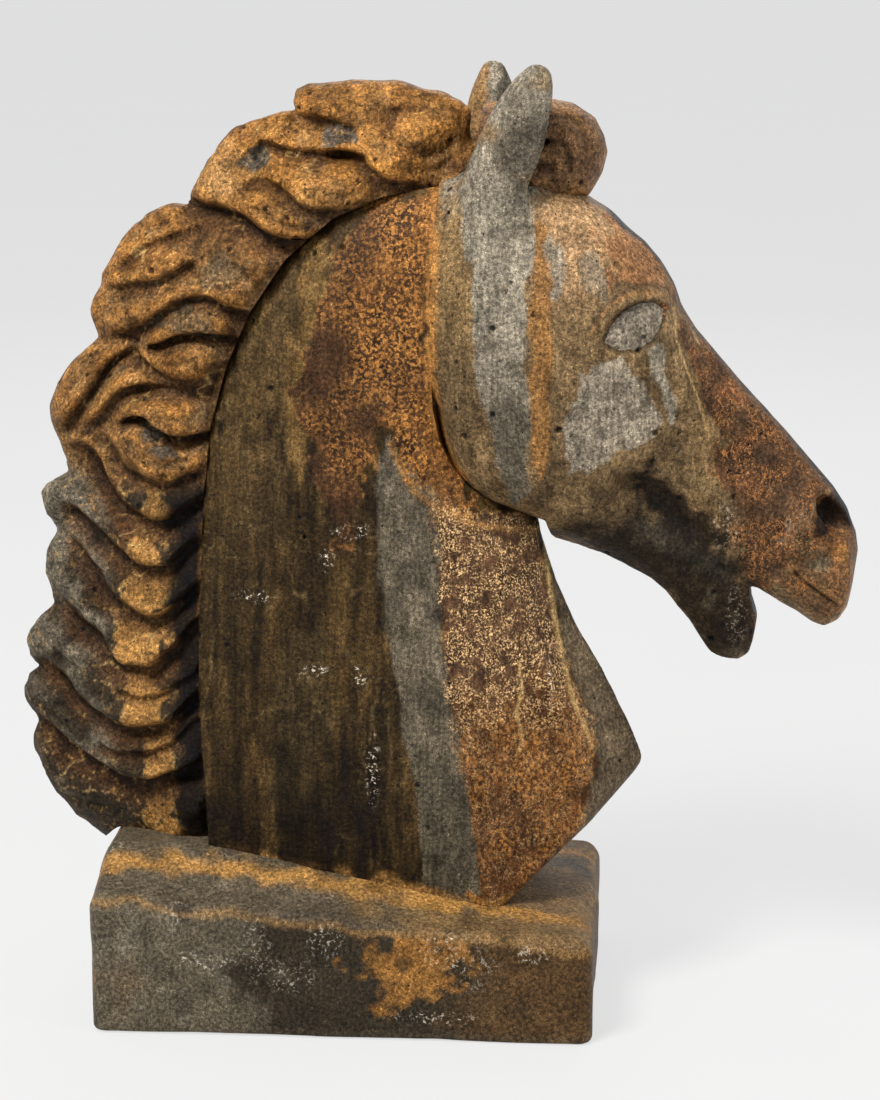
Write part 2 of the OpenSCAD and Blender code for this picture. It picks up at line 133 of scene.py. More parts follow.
# Neck stations: crest x, z, throat x, z, half-width, how sharply keeled
NECK = [
    (-118, 40, 212, 20, 63, 1.0), (-118, 110, 200, 110, 62, 1.0),
    (-119, 157, 189, 157, 61, 1.0), (-119, 205, 168, 205, 59, 1.0),
    (-118, 255, 141, 255, 56, 0.9), (-117, 305, 123, 298, 52, 0.6),
    (-113, 352, 115, 330, 49, 0.35), (-102, 402, 105, 356, 47, 0.2),
    (-80, 448, 96, 380, 46, 0.0), (-50, 488, 88, 398, 46, 0.0),
    (-12, 520, 82, 412, 45, 0.0), (28, 540, 78, 425, 44, 0.0), (60, 548, 76, 440, 44, 0.0),
]
# The keeled section: share of the way from crest to throat, and share of the half-width
KEELED = ([0.0, 0.08, 0.3, 0.55, 0.655, 0.87, 1.0], [0.6, 0.8, 0.9, 0.975, 1.0, 0.6, 0.0])
# The slanted face under the breast, from the plinth up to the tip
CHEST_CORNER, CHEST_TIP = (97, 72), (190, 157)

# Creases of the mane: path, depth, and how far they reach above and below
MANE_CREASES = [
    ([(-40, 577), (-33, 575), (-18, 574), (-2, 570)], 6, 4, 10),
    ([(15, 576), (38, 580), (52, 582)], 2.5, 6, 6),
    ([(64, 570), (62, 557), (50, 551), (37, 558), (25, 568)], 3.5, 5, 6),
    ([(-56, 561), (-52, 559), (-37, 554), (-15, 552), (5, 552)], 6, 4, 10),
    ([(-2, 552), (5, 551), (15, 544), (26, 534), (41, 533)], 7, 5, 12),
    ([(-74, 522), (-60, 535), (-43, 530), (-29, 521), (-10, 517), (8, 523)], 6, 5, 9),
    ([(-112, 520), (-99, 518), (-69, 513), (-55, 505), (-31, 499), (-16, 503)], 10, 6, 14),
    ([(-67, 521), (-53, 517), (-36, 510), (-18, 511)], 3.5, 5, 6),
    ([(-151, 475), (-140, 484), (-122, 495), (-98, 504)], 6, 6, 9),
    ([(-159, 465), (-135, 469), (-118, 474), (-104, 481)], 6, 4, 9),
    ([(-78, 486), (-64, 477), (-87, 469)], 3, 4, 4),
    ([(-161, 432), (-135, 440), (-117, 453), (-106, 460), (-86, 463), (-68, 455)], 9, 6, 8),
    ([(-66, 457), (-69, 445), (-77, 431), (-85, 418)], 5, 6, 6),
    ([(-133, 431), (-119, 434), (-102, 440), (-78, 438)], 11, 2.5, 5),
    ([(-146, 432), (-131, 421), (-116, 412), (-102, 409), (-86, 413), (-79, 422)], 7, 6, 9),
    ([(-190, 370), (-181, 383), (-172, 393), (-162, 406), (-152, 418), (-142, 427)], 9, 5, 5),
    ([(-177, 373), (-162, 384), (-151, 395), (-139, 403), (-123, 406), (-104, 406), (-90, 407)], 8, 5, 9),
    ([(-152, 381), (-139, 386), (-130, 387), (-123, 380), (-107, 374), (-89, 377)], 11, 3.5, 6),
    ([(-162, 383), (-155, 369), (-150, 362), (-141, 352), (-124, 345), (-108, 345), (-93, 355)], 7, 7, 9),
    ([(-129, 381), (-128, 368), (-119, 360), (-109, 360)], 3.5, 4, 5),
    ([(-180, 372), (-169, 358), (-158, 340), (-147, 328), (-132, 320), (-115, 320), (-97, 331)], 9, 7, 13),
    ([(-173, 346), (-165, 326), (-153, 310), (-143, 301)], 4.5, 5, 6),
    ([(-196, 331), (-178, 321), (-163, 308), (-148, 297), (-134, 290), (-114, 293), (-98, 305)], 9, 7, 14),
    ([(-195, 314), (-172, 292), (-162, 275), (-152, 264), (-134, 255), (-121, 258), (-100, 274)], 9, 7, 12),
    (
        [
            (-202, 266), (-180, 251), (-163, 239), (-152, 225), (-134, 221), (-124, 225), (-108, 241),
            (-99, 253),
        ],
        9, 7, 14,
    ),
    ([(-157, 210), (-139, 204), (-124, 206), (-101, 219)], 5, 4, 8),
    (
        [
            (-212, 223), (-193, 212), (-175, 196), (-158, 185), (-143, 181), (-128, 183), (-110, 192),
            (-97, 204),
        ],
        9, 7, 12,
    ),
    ([(-171, 175), (-159, 167), (-142, 166), (-127, 168), (-111, 177), (-96, 190)], 6, 4, 9),
    ([(-216, 186), (-195, 171), (-174, 157), (-154, 150), (-136, 147), (-118, 150), (-95, 162)], 10, 6, 18),
]
# Hollows and swellings of the mane: centre, radii, tilt in degrees, depth
MANE_DENTS = [
    ((-5, 551), (13, 6), -6, 17), ((-5, 562), (14, 9), 0, 6), ((-60, 546), (14, 11), 30, 9),
    ((-104, 134), (15, 16), 0, -6), ((-124, 484), (40, 18), 28, -7), ((-98, 424), (28, 12), 0, -6),
    ((-120, 395), (30, 10), 4, -6), ((-128, 366), (28, 20), -30, -6), ((0, 583), (50, 12), 0, -6),
    ((46, 566), (24, 18), 20, -5), ((-30, 538), (30, 12), -20, -5), ((-62, 526), (26, 8), 0, -3),
    ((-140, 452), (22, 12), 20, -4), ((-204, 150), (16, 30), 30, 2), ((-124, 372), (10, 9), -40, 4),
]
# Finer lines that follow the strands of the locks
MANE_STRANDS = [
    [(-30, 588), (-4, 591), (28, 590), (54, 585)], [(-22, 581), (4, 584), (34, 586)],
    [(34, 570), (40, 578), (56, 578), (66, 572)], [(30, 552), (42, 544), (56, 545), (66, 556)],
    [(38, 562), (46, 555), (56, 558)], [(-90, 548), (-72, 563), (-48, 571), (-30, 573)],
    [(-84, 540), (-76, 551), (-60, 560)], [(-36, 548), (-22, 541), (-4, 535), (12, 534)],
    [(-24, 534), (-6, 528), (10, 531), (26, 534)], [(-142, 496), (-120, 508), (-92, 512)],
    [(-134, 488), (-112, 500), (-80, 503), (-60, 497)], [(-160, 455), (-140, 452), (-124, 462)],
    [(-150, 444), (-128, 452), (-112, 468), (-92, 474)], [(-184, 408), (-172, 420), (-160, 428)],
    [(-190, 392), (-180, 404), (-168, 414)], [(-128, 424), (-112, 422), (-96, 426)],
    [(-150, 372), (-142, 360), (-128, 352), (-110, 352)], [(-140, 376), (-134, 364), (-122, 357)],
    [(-178, 356), (-164, 334), (-150, 320), (-134, 312), (-114, 312)],
    [(-196, 322), (-176, 304), (-158, 288), (-140, 277), (-118, 282)],
    [(-198, 294), (-176, 276), (-162, 258), (-146, 246), (-120, 244)],
    [(-204, 250), (-184, 236), (-164, 222), (-150, 212)], [(-212, 238), (-192, 226), (-172, 212)],
    [(-212, 205), (-188, 192), (-168, 178)], [(-216, 196), (-196, 184), (-176, 170)],
    [(-212, 168), (-188, 156), (-160, 142), (-130, 138)], [(-206, 150), (-184, 138), (-156, 130)],
    [(-198, 132), (-176, 124), (-150, 120)],
]
# The joints between the mane's three castings: x along the joint, and its height there
SPLIT_UPPER = ([-240, -112, -99, -69, -55, -31, -16, 40], [524, 521, 518, 513, 505, 499, 503, 515])
SPLIT_LOWER = (
    [-240, -190, -176, -165, -158, -147, -132, -115, -97, -80],
    [352, 351, 353, 350, 341, 328, 320, 320, 331, 340],
)


# ---- sculpting in the plane ----

def resample(points, per_span=6):
    """A Catmull-Rom curve through the points."""
    p = np.asarray(points, float)
    q = np.vstack([2 * p[0] - p[1], p, 2 * p[-1] - p[-2]])
    t = np.linspace(0, 1, per_span, endpoint=False)[:, None]
    spans = [
        0.5 * (2 * b + (c - a) * t + (2 * a - 5 * b + 4 * c - d) * t**2 + (3 * b - a - 3 * c + d) * t**3)
        for a, b, c, d in zip(q[:-3], q[1:-2], q[2:-1], q[3:])
    ]
    return np.vstack(spans + [p[-1:]])


def segment_distance(x, z, a, b):
    """Distance to the segment from a to b, and the share of the way along it."""
    ab = b - a
    t = np.clip(((x - a[0]) * ab[0] + (z - a[1]) * ab[1]) / max(ab @ ab, 1e-9), 0, 1)
    return np.hypot(x - a[0] - t * ab[0], z - a[1] - t * ab[1]), t


def near_path(points, reach):
    """The window within reach of a curve, with the distance, the share of its length and the side."""
    p = resample(points)
    low, high = p.min(0) - reach, p.max(0) + reach
    window = (slice(*np.searchsorted(xs, [low[0], high[0]])), slice(*np.searchsorted(zs, [low[1], high[1]])))
    x, z = GX[window], GZ[window]
    best = np.full(x.shape, 1e9)
    share = np.zeros(x.shape)
    side = np.ones(x.shape)
    for i, (a, b) in enumerate(zip(p, p[1:])):
        d, t = segment_distance(x, z, a, b)
        nearer = d < best
        cross = (b[0] - a[0]) * (z - a[1]) - (b[1] - a[1]) * (x - a[0])
        best = np.where(nearer, d, best)
        share = np.where(nearer, (i + t) / (len(p) - 1), share)
        side = np.where(nearer, np.sign(cross), side)
    return window, best, share, side


def polygon_depth(points, x=GX, z=GZ):
    """Distance in from a closed outline, negative outside it."""
    p = np.asarray(points, float)
    best = np.full(x.shape, 1e9)
    inside = np.zeros(x.shape, bool)
    for a, b in zip(p, np.roll(p, -1, axis=0)):
        best = np.minimum(best, segment_distance(x, z, a, b)[0])
        if a[1] != b[1]:
            crosses = (a[1] > z) != (b[1] > z)
            inside ^= crosses & (x < (b[0] - a[0]) * (z - a[1]) / (b[1] - a[1]) + a[0])
    return np.where(inside, best, -best)


def beside(points, gap):
    """A path run alongside another, above it if the gap is positive."""
    p = resample(points, 2)
    along = np.gradient(p, axis=0)
    along /= np.linalg.norm(along, axis=1, keepdims=True)
    return p + gap * np.stack([-along[:, 1], along[:, 0]], 1)


def fan(stations):
    """Each point's share of the way down the station line it lies on, and the stations' values there."""
    s = resample(stations, 8).astype(np.float32)
    ab = s[:, 2:4] - s[:, 0:2]
    length2 = (ab**2).sum(1)
    dx = GX[None].astype(np.float32) - s[:, 0, None, None]
    dz = GZ[None].astype(np.float32) - s[:, 1, None, None]
    side = ab[:, 0, None, None] * dz - ab[:, 1, None, None] * dx
    share = (ab[:, 0, None, None] * dx + ab[:, 1, None, None] * dz) / length2[:, None, None]
    between = side[:-1] * side[1:] <= 0
    score = np.where(between, np.abs(share[:-1] - 0.5), 1e6)
    i = score.argmin(0)
    found = np.take_along_axis(between, i[None], 0)[0]
    offset = np.abs(side) / np.sqrt(length2)[:, None, None]
    last = len(s) - 1
    end = np.where(offset[0] < offset[last], 0, last)
    i = np.where(found, i, np.minimum(end, last - 1))
    s0 = np.take_along_axis(side, i[None], 0)[0]
    s1 = np.take_along_axis(side, i[None] + 1, 0)[0]
    f = np.where(found, s0 / np.where(s0 == s1, 1, s0 - s1), (end == last).astype(float))
    p0 = np.take_along_axis(share, i[None], 0)[0]
    p1 = np.take_along_axis(share, i[None] + 1, 0)[0]
    values = [s[i, k] * (1 - f) + s[i + 1, k] * f for k in range(4, s.shape[1])]
    beyond = np.where(found, 0, np.minimum(offset[0], offset[last]))
    return p0 * (1 - f) + p1 * f, values, beyond


def blur(m, sigma):
    """Gaussian blur of a map, sigma in millimetres."""
    r = max(1, int(3 * sigma / CELL))
    k = np.exp(-0.5 * (np.arange(-r, r + 1) * CELL / sigma) ** 2)
    k /= k.sum()
    for axis in (0, 1):
        padded = np.pad(m, [(r, r) if a == axis else (0, 0) for a in (0, 1)], mode="edge")
        m = sum(
            w * np.take(padded, range(j, j + m.shape[axis]), axis=axis) for j, w in enumerate(k)
        )
    return m


def half_map(square):
    return np.sqrt(np.maximum(square, 0))


def rise(t):
    t = np.clip(t, 0, 1)
    return t * t * (3 - 2 * t)


def roughen(shape, wavelength, seed):
    """Smooth random values over a lattice, in -1 to 1 or so."""
    rng = np.random.default_rng(seed)
    counts = [int(n * CELL / wavelength) + 3 for n in shape]
    coarse = rng.standard_normal(counts).astype(np.float32)
    for axis, n in enumerate(shape):
        at = np.arange(n) * CELL / wavelength
        i = at.astype(int)
        f = rise(at - i).astype(np.float32)
        sel = [None] * len(shape)
        sel[axis] = slice(None)
        f = f[tuple(sel)]
        coarse = np.take(coarse, i, axis) * (1 - f) + np.take(coarse, i + 1, axis) * f
    return coarse


class Relief:
    """Creases, locks, hollows and swellings over a half-thickness map."""

    def __init__(self):
        self.cut = np.zeros(GX.shape)
        self.raised = np.zeros(GX.shape)

    def crease(self, points, depth, above, below, fade=0.14):
        """A sharp line cut in, its edges rolling over towards the two sides."""
        window, d, share, side = near_path(points, max(above, below))
        reach = np.where(side > 0, above, below)
        taper = rise(np.minimum(share, 1 - share) / fade) if fade else 1.0
        cut = depth * taper * np.clip(1 - d / reach, 0, 1) ** 2
        self.cut[window] = np.maximum(self.cut[window], cut)

    def step(self, points, height, reach, sharpness=3.0, fade=0.2):
        """A raised side and a sunk side of a line, both dying away from it."""
        window, d, share, side = near_path(points, 3 * reach)
        taper = rise(np.minimum(share, 1 - share) / fade)
        self.raised[window] += height * taper * side * np.tanh(d / sharpness) * np.exp(-((d / reach) ** 2))

    def lock(self, points, radius, height, fade=0.25):
        """A rounded strand laid along a line."""
        window, d, share, _ = near_path(points, radius)
        taper = np.sqrt(np.clip(np.minimum(share, 1 - share) / fade, 0, 1)) if fade else 1.0
        lift = height * taper * np.sqrt(np.clip(1 - (d / radius) ** 2, 0, 1))
        self.raised[window] += lift

    def dent(self, centre, radii, tilt, depth):
        c, s = math.cos(math.radians(tilt)), math.sin(math.radians(tilt))
        u = ((GX - centre[0]) * c + (GZ - centre[1]) * s) / radii[0]
        v = ((GZ - centre[1]) * c - (GX - centre[0]) * s) / radii[1]
        self.raised -= depth * np.clip(1 - u * u - v * v, 0, 1) ** 1.5

    def warp(self, wavelength, reach, seed):
        """Push the relief about so that its lines waver as if worked by hand."""
        wander = [reach / CELL * roughen(GX.shape, wavelength, seed + i) for i in (0, 1)]
        i = np.clip(np.arange(len(xs))[:, None] + wander[0], 0, len(xs) - 1.001)
        k = np.clip(np.arange(len(zs))[None] + wander[1], 0, len(zs) - 1.001)
        i0, k0 = i.astype(int), k.astype(int)
        f, g = i - i0, k - k0
        for name in ("cut", "raised"):
            m = getattr(self, name)
            low = m[i0, k0] * (1 - f) + m[i0 + 1, k0] * f
            high = m[i0, k0 + 1] * (1 - f) + m[i0 + 1, k0 + 1] * f
            setattr(self, name, low * (1 - g) + high * g)

    def carve(self, dents=(), steps=(), locks=(), creases=()):
        """Everything a casting's tables list, given as each of the methods above takes it."""
        for method, rows in (
            (self.dent, dents), (self.step, steps), (self.lock, locks), (self.crease, creases),
        ):
            for row in rows:
                method(*row)

    def on(self, square):
        """The relief added to a squared half-thickness, fading out at its rim."""
        w = np.sqrt(np.maximum(square, 0))
        change = (self.raised - self.cut) * w / (w + 5)
        return np.where(square > 0, np.maximum(w + change, 0.5) ** 2, square)


def soft_max(a, b, k):
    h = np.clip(0.5 + 0.5 * (a - b) / k, 0, 1)
    return b * (1 - h) + a * h + k * h * (1 - h)


def loft_square(stations):
    p, (half, egg, power), beyond = fan(stations)
    a = 1 - 2 * p
    body = np.abs(a) ** power
    shape = np.where(body < 1, np.maximum(1 - body, 0) ** (2 / power), 1 - body)
    wide = half * (1 + egg * np.clip(a, -1, 1))
    return wide**2 * shape - 20 * beyond, wide


def rim(depth, half, radius):
    """Squared half-thickness of a plate of this half-width whose edge is rounded to the radius."""
    t = np.clip(depth / radius, 0, 1)
    return np.where(depth > 0, half**2 * (2 * t - t * t), 2 * half**2 * depth / radius)


# the neck
p, (neck_half, vee), beyond = fan(NECK)
keel = np.interp(p, *KEELED)
keel_w = neck_half * keel
round_w = neck_half * np.sqrt(np.maximum(1 - np.abs(2 * p - 1) ** 2.4, 0))
neck_w = blur(vee * keel_w + (1 - vee) * round_w, 2.0)
neck_w = np.where(p < 1, neck_w, -60 * (p - 1))
neck_relief = Relief()
neck_relief.carve(
    dents=[
        ((56, 240), (26, 150), 14, -3.5), ((14, 300), (24, 110), 8, 3.5),
        ((-50, 250), (40, 160), 4, -2.5), ((118, 200), (16, 90), 14, 3.0),
        ((20, 450), (34, 70), 0, 3.0), ((-30, 440), (24, 70), -30, -2.0),
    ],
    creases=[
        (NECK_LINE[1:], 2.5, 3, 4, 0), (JAW_LINE[4:], 3, 7, 7, 0.2),
        ([(58, 315), (83, 307), (115, 302)], 1.6, 3, 4),
    ],
)

# the head
skull, skull_wide = loft_square(HEAD)
jaw, _ = loft_square(JAW)
head_square = soft_max(skull, jaw, 60)
head_w = np.sqrt(np.maximum(head_square, 0))
behind_jaw = polygon_depth(JAW_LINE[:9] + [(300, 300), (300, 640), (56, 640)]) < 0
body_w = np.where(behind_jaw, np.maximum(neck_w, 0), head_w)
jaw_window, jaw_gap, _, _ = near_path(JAW_LINE[:7], 30)
joining = np.zeros(GX.shape)
joining[jaw_window] = rise(1 - jaw_gap / 30) * rise((GZ[jaw_window] - 380) / 70)
smooth_w = blur(body_w, 9)
neck_w = np.where(neck_w > 0, neck_w * (1 - joining) + smooth_w * joining, neck_w)
neck_square = np.where(neck_w > 0, neck_w**2, 64 * neck_w)
neck_square = blur(neck_relief.on(neck_square), 0.8)
head_w = head_w * (1 - joining) + smooth_w * joining
inside = rise((head_w - 14) / 10)
head_w = head_w * (1 - inside) + blur(head_w, 5) * inside
head_square = np.where(head_square > 0, head_w**2, head_square)
face_depth = polygon_depth(FACE_OUTLINE)
face_round = 7 + 15 * rise((GZ + 0.9 * GX - 560) / 50)
head_square = np.minimum(head_square, rim(face_depth, np.maximum(skull_wide, 24), face_round))
eye_depth = polygon_depth(EYE_OUTLINE)
lip = [(280, 295), (287, 287), (297, 280), (309, 271)]
head_relief = Relief()
head_relief.carve(
    dents=[
        ((108, 400), (70, 84), 12, -4.5), ((194, 334), (46, 19), -46, 10),
        ((176, 350), (17, 9), -35, 4), ((290, 306), (8, 22), 8, 4.5),
        ((214, 387), (9, 7), -20, -3), ((216, 296), (26, 14), -30, 3),
        ((300, 322), (26, 30), 20, -5), ((276, 352), (20, 10), -50, 2.5),
        ((176, 449), (32, 24), 30, 3), ((236, 268), (6, 4), 0, 2.5),
        ((118, 500), (26, 34), -20, 2.5), ((216, 399), (9, 6), -30, -2.5),
        ((240, 372), (26, 52), 42, 2.5), ((246, 300), (12, 12), 0, -3.0),
        ((284, 303), (12, 12), 0, -2.5), ((299, 300), (7, 9), 30, 3.5),
    ],
    steps=[
        ([(151, 342), (162, 346), (174, 354), (186, 363), (195, 375), (203, 386), (208, 392)], 2.4, 14, 4.0),
        ([(228, 350), (226, 372), (218, 396), (210, 424), (203, 446), (202, 462)], 1.8, 12, 4.0),
        ([(258, 288), (270, 300), (284, 304), (296, 300)], 1.6, 10),
        (lip, 1.2, 6),
    ],
    locks=[
        ([(152, 446), (158, 457), (168, 466), (182, 470), (195, 468), (203, 459)], 6, 3.2),
        ([(158, 437), (168, 431), (181, 431), (191, 438), (198, 449)], 4, 1.4),
        ([(284, 306), (282, 324), (288, 344), (300, 353), (312, 345), (320, 330)], 8, 5),
        ([(289, 318), (289, 330), (294, 340), (302, 344), (312, 338)], 4, 2.2),
        ([(186, 318), (204, 312), (222, 304), (238, 292)], 12, 3),
        ([(200, 462), (200, 445), (204, 430), (213, 407), (221, 391), (229, 378), (230, 358)], 5, 2.4),
        ([(212, 377), (226, 350), (239, 320), (244, 300)], 13, 4),
    ],
    creases=[
        (lip, 5, 2.2, 3.5),
        ([(262, 352), (276, 348), (286, 352)], 1.4, 5, 6),
        ([(205, 353), (216, 346), (230, 331)], 2.0, 6, 7),
        ([(250, 283), (262, 282), (276, 274)], 1.6, 4, 5),
        ([(236, 290), (234, 300), (241, 309), (252, 307)], 1.8, 3, 3),
        (JAW_LINE[4:], 5, 7, 7, 0.2),
        ([(150, 449), (158, 462), (170, 472), (184, 475), (197, 471), (206, 460)], 2.2, 2.5, 2.5),
    ],
)
# the eyelid stands round the disc, which is let in by a groove and domed
head_relief.raised += 2.2 * np.exp(-(((eye_depth + 3.4) / 1.5) ** 2))
eye_rim = np.abs(eye_depth + 0.4)
head_relief.cut = np.maximum(head_relief.cut, 1.7 * np.clip(1 - eye_rim / 2.2, 0, 1))
head_relief.raised += 1.6 * rise(eye_depth / 9)
head_square = blur(head_relief.on(head_square), 0.8)

# the mane
mane_outer = polygon_depth(MANE_OUTLINE + [(150, 60), (150, 560)])
mane_half = 16 + 31 * rise(mane_outer / 74) - 5 * rise((400 - GZ) / 60)
mane_square = rim(mane_outer, mane_half, 15)
mane_relief = Relief()
for path, depth, above, below in MANE_CREASES:
    if path[-1][0] > -112 and path[-1][1] < 360:
        path = path + [(path[-1][0] + 12, path[-1][1] + 14)]
    else:
        last = np.subtract(path[-1], path[-2])
        path = path + [tuple(path[-1] + 10 * last / np.hypot(*last))]
    mane_relief.crease(path, 1.35 * depth, 1.1 * above, 2.2 * below)
    mane_relief.step(path, 0.28 * depth, 11)
    if len(path) > 4:
        fineness = 0.4 if path[0][1] < 372 else 1.0
        for gap, cut in ((-4.5, 1.4), (-9.5, 2.0), (6.5, 1.4)):
            mane_relief.crease(beside(path[1:], gap), fineness * cut, 1.8, 4, fade=0.3)
for strand in MANE_STRANDS:
    mane_relief.crease(strand, 2.8, 2.5, 8)
    mane_relief.step(strand, 0.9, 7)
mane_relief.carve(
    dents=MANE_DENTS,
    locks=[
        ([(-160, 432), (-174, 416), (-185, 398), (-190, 380)], 11, 5),
        ([(-124, 411), (-142, 407), (-156, 394), (-172, 380)], 6, 4),
    ],
    creases=[(NECK_LINE[1:], 5, 9, 9, 0)],
)
mane_relief.warp(15, 1.2, 3)
arch_window, arch_gap, _, _ = near_path(NECK_LINE[1:], 22)
flush = np.zeros(GX.shape)
flush[arch_window] = 0.85 * rise(1 - arch_gap / 22) * rise((GZ[arch_window] - 330) / 60)
mane_w = half_map(mane_square)
mane_w = mane_w * (1 - flush) + np.maximum(half_map(neck_square), 0.8 * mane_w) * flush
mane_square = np.where(mane_square > 0, mane_w**2, mane_square)
mane_square = blur(mane_relief.on(mane_square), 0.7)

# the forelock
lock_depth = polygon_depth(FORELOCK_OUTLINE)
forelock_square = rim(lock_depth, 34.0 + 0 * GX, 26)
forelock_relief = Relief()
forelock_relief.carve(creases=[
    ([(84, 577), (110, 572), (132, 577), (146, 566), (147, 548)], 4, 5, 7),
    ([(90, 562), (112, 560), (130, 562), (138, 552), (137, 536)], 5, 5, 7),
    ([(96, 548), (112, 546), (124, 548), (128, 540)], 4, 4, 6),
])
forelock_square = blur(forelock_relief.on(forelock_square), 0.8)


# ---- from the plane to solids ----

def gradient2(m):
    gx, gz = np.gradient(m, CELL)
    return gx * gx + gz * gz


class Block:
    """A box of the lattice, with the field of one casting in it."""

    def __init__(self, low, high):
        self.ix = slice(*np.searchsorted(xs, [low[0], high[0]]))
        self.iz = slice(*np.searchsorted(zs, [low[1], high[1]]))
        self.x = xs[self.ix].astype(np.float32)[:, None, None]
        self.y = ys.astype(np.float32)[None, :, None]
        self.z = zs[self.iz].astype(np.float32)[None, None, :]
        self.origin = np.array([xs[self.ix.start], ys[0], zs[self.iz.start]])

    def plane(self, m):
        return m[self.ix, self.iz].astype(np.float32)[:, None, :]

    def plate(self, square):
        """Distance, or near enough, from the surface where y squared is the map's value."""
        s, g = self.plane(square), self.plane(gradient2(square))
        return (self.y**2 - s) / np.sqrt(4 * self.y**2 + g + 1.0)


def round_max(a, b, r):
    """The overlap of two solids with the edge between them rounded."""
    u, v = np.maximum(a + r, 0), np.maximum(b + r, 0)
    return np.minimum(np.maximum(a, b), -r) + np.hypot(u, v)


def soft_min(a, b, k):
    return -soft_max(-a, -b, k)


def chain(block, stations, squash=1.0, steps=5):
    """A round-ended solid along stations of (x, y, z, radius)."""
    s = resample(stations, steps)
    best = None
    for x, y, z, r in s:
        d = np.sqrt((block.x - x) ** 2 + ((block.y - y) / squash) ** 2 + (block.z - z) ** 2) - r
        best = d if best is None else np.minimum(best, d)
    return best


def plinth_top(x, y):
    """Height of the plinth's top, which swells up to the foot of the neck."""
    edge = (REAR_HEIGHT + FRONT_HEIGHT) / 2 - (REAR_HEIGHT - FRONT_HEIGHT) * x / PLINTH_LENGTH
    swell = np.interp(x, *PLINTH_SWELL)
    across = 1 - rise((np.abs(y) - 44) / 54)
    end = rise((x + 176) / 22)
    return edge + swell * across * end


NECK_REGION = polygon_depth(NECK_LINE + JAW_LINE[1:] + [(127, 312), (215, 200), (240, 54), (-92, 54)])
HEAD_REGION = polygon_depth(JAW_LINE + [(127, 312), (215, 200), (344, 200), (344, 626), (56, 626)])
BEHIND_NECK = polygon_depth(
    NECK_LINE + [(66, 536), (80, 560), (88, 626), (-239, 626), (-239, 54), (-92, 54)]
)
slope = np.array(CHEST_TIP, float) - CHEST_CORNER
slope /= np.hypot(*slope)
CHEST_UNDER = (GX - CHEST_CORNER[0]) * slope[1] - (GZ - CHEST_CORNER[1]) * slope[0]
ABOVE_UPPER = GZ - np.interp(GX, *SPLIT_UPPER)
ABOVE_LOWER = GZ - np.interp(GX, *SPLIT_LOWER)

EAR_RIGHT = [
    (86, -34, 512, 22), (94, -38, 541, 20.5), (103, -43, 563, 20), (109, -45, 579, 17.5),
    (114, -46, 592, 13.5), (117, -46, 600, 9.5),
]
EAR_LEFT = [
    (84, 34, 518, 17), (84, 38, 542, 18), (85, 41, 563, 18), (86, 43, 580, 15.5),
    (86, 44, 591, 11.5), (86, 44, 598, 8.5),
]
EAR_FOOT_Z = 538
EAR_REACH = 8
EYE_SEAT = 8


def ear_solid(block, stations):
    """A leaf-shaped ear, scooped out on the side that faces forwards and inwards."""
    inwards = -np.sign(stations[0][1])
    body = chain(block, stations, 0.74)
    scoop = [(x + 12.5, y + inwards * 7, z - 2, 0.66 * r) for x, y, z, r in stations[1:]]
    return round_max(body, -chain(block, scoop, 0.9), 1.8)


def ears(block):
    return ear_solid(block, EAR_RIGHT), ear_solid(block, EAR_LEFT)


def nostril(block, side):
    deep = chain(block, [
        (299, side * 28, 340, 5), (300, side * 24, 330, 9.5),
        (304, side * 23, 324, 10.5), (312, side * 23, 322, 9),
    ])
    floor = chain(block, [(310, side * 34, 318, 8), (309, side * 36, 306, 6)])
    return np.minimum(deep, floor)


def bust_block(low, high, square, seed):
    """A block with the bust's skin in it, a little uneven."""
    block = Block(low, high)
    skin = block.plate(square)
    skin += 0.45 * roughen(skin.shape, 24, seed) + 0.12 * roughen(skin.shape, 8, seed + 1)
    return block, skin


air_holes = []


def pits(block, field, square, count, seed, smallest=0.8, largest=2.2):
    """Air holes left in the face of the concrete."""
    rng = np.random.default_rng(seed)
    s = square[block.ix, block.iz]
    candidates = np.argwhere(s > 30)
    for i, k in candidates[rng.integers(0, len(candidates), count)]:
        r = smallest + (largest - smallest) * rng.random() ** 4
        y = rng.choice([-1, 1]) * (math.sqrt(s[i, k]) + rng.uniform(-0.2, 0.5) * r)
        j = int(round((y - ys[0]) / CELL))
        n = int(r / CELL) + 2
        box = tuple(slice(max(q - n, 0), q + n + 1) for q in (i, j, k))
        if min(field[box].shape, default=0) == 0:
            continue
        x0, z0 = block.x[i, 0, 0] + rng.uniform(-1, 1), block.z[0, 0, k] + rng.uniform(-1, 1)
        d = np.sqrt(
            (block.x[box[0]] - x0) ** 2 + (block.y[:, box[1]] - y) ** 2 + (block.z[:, :, box[2]] - z0) ** 2
        )
        field[box] = np.maximum(field[box], r - d)
        air_holes.append((x0, y, z0, r))


def largest_shell(points, faces):
    """The mesh without any loose scrap."""
    label = np.arange(len(points))
    edges = np.vstack([faces[:, [0, 1]], faces[:, [1, 2]], faces[:, [2, 3]]])
    while True:
        low = np.minimum(label[edges[:, 0]], label[edges[:, 1]])
        new = label.copy()
        np.minimum.at(new, edges[:, 0], low)
        np.minimum.at(new, edges[:, 1], low)
        new = new[new]
        if (new == label).all():
            break
        label = new
    names, counts = np.unique(label, return_counts=True)
    kept = label == names[counts.argmax()]
    index = np.cumsum(kept) - 1
    return points[kept], index[faces[kept[faces[:, 0]]]]


def value_at(field, at):
    """A lattice field's values at positions given in cells."""
    at = np.clip(at, 0, np.array(field.shape) - 1.001)
    cell = at.astype(int)
    part = at - cell
    total = 0
    for corner in np.ndindex(2, 2, 2):
        i = cell + corner
        total = total + np.prod(np.where(corner, part, 1 - part), axis=1) * field[i[:, 0], i[:, 1], i[:, 2]]
    return total


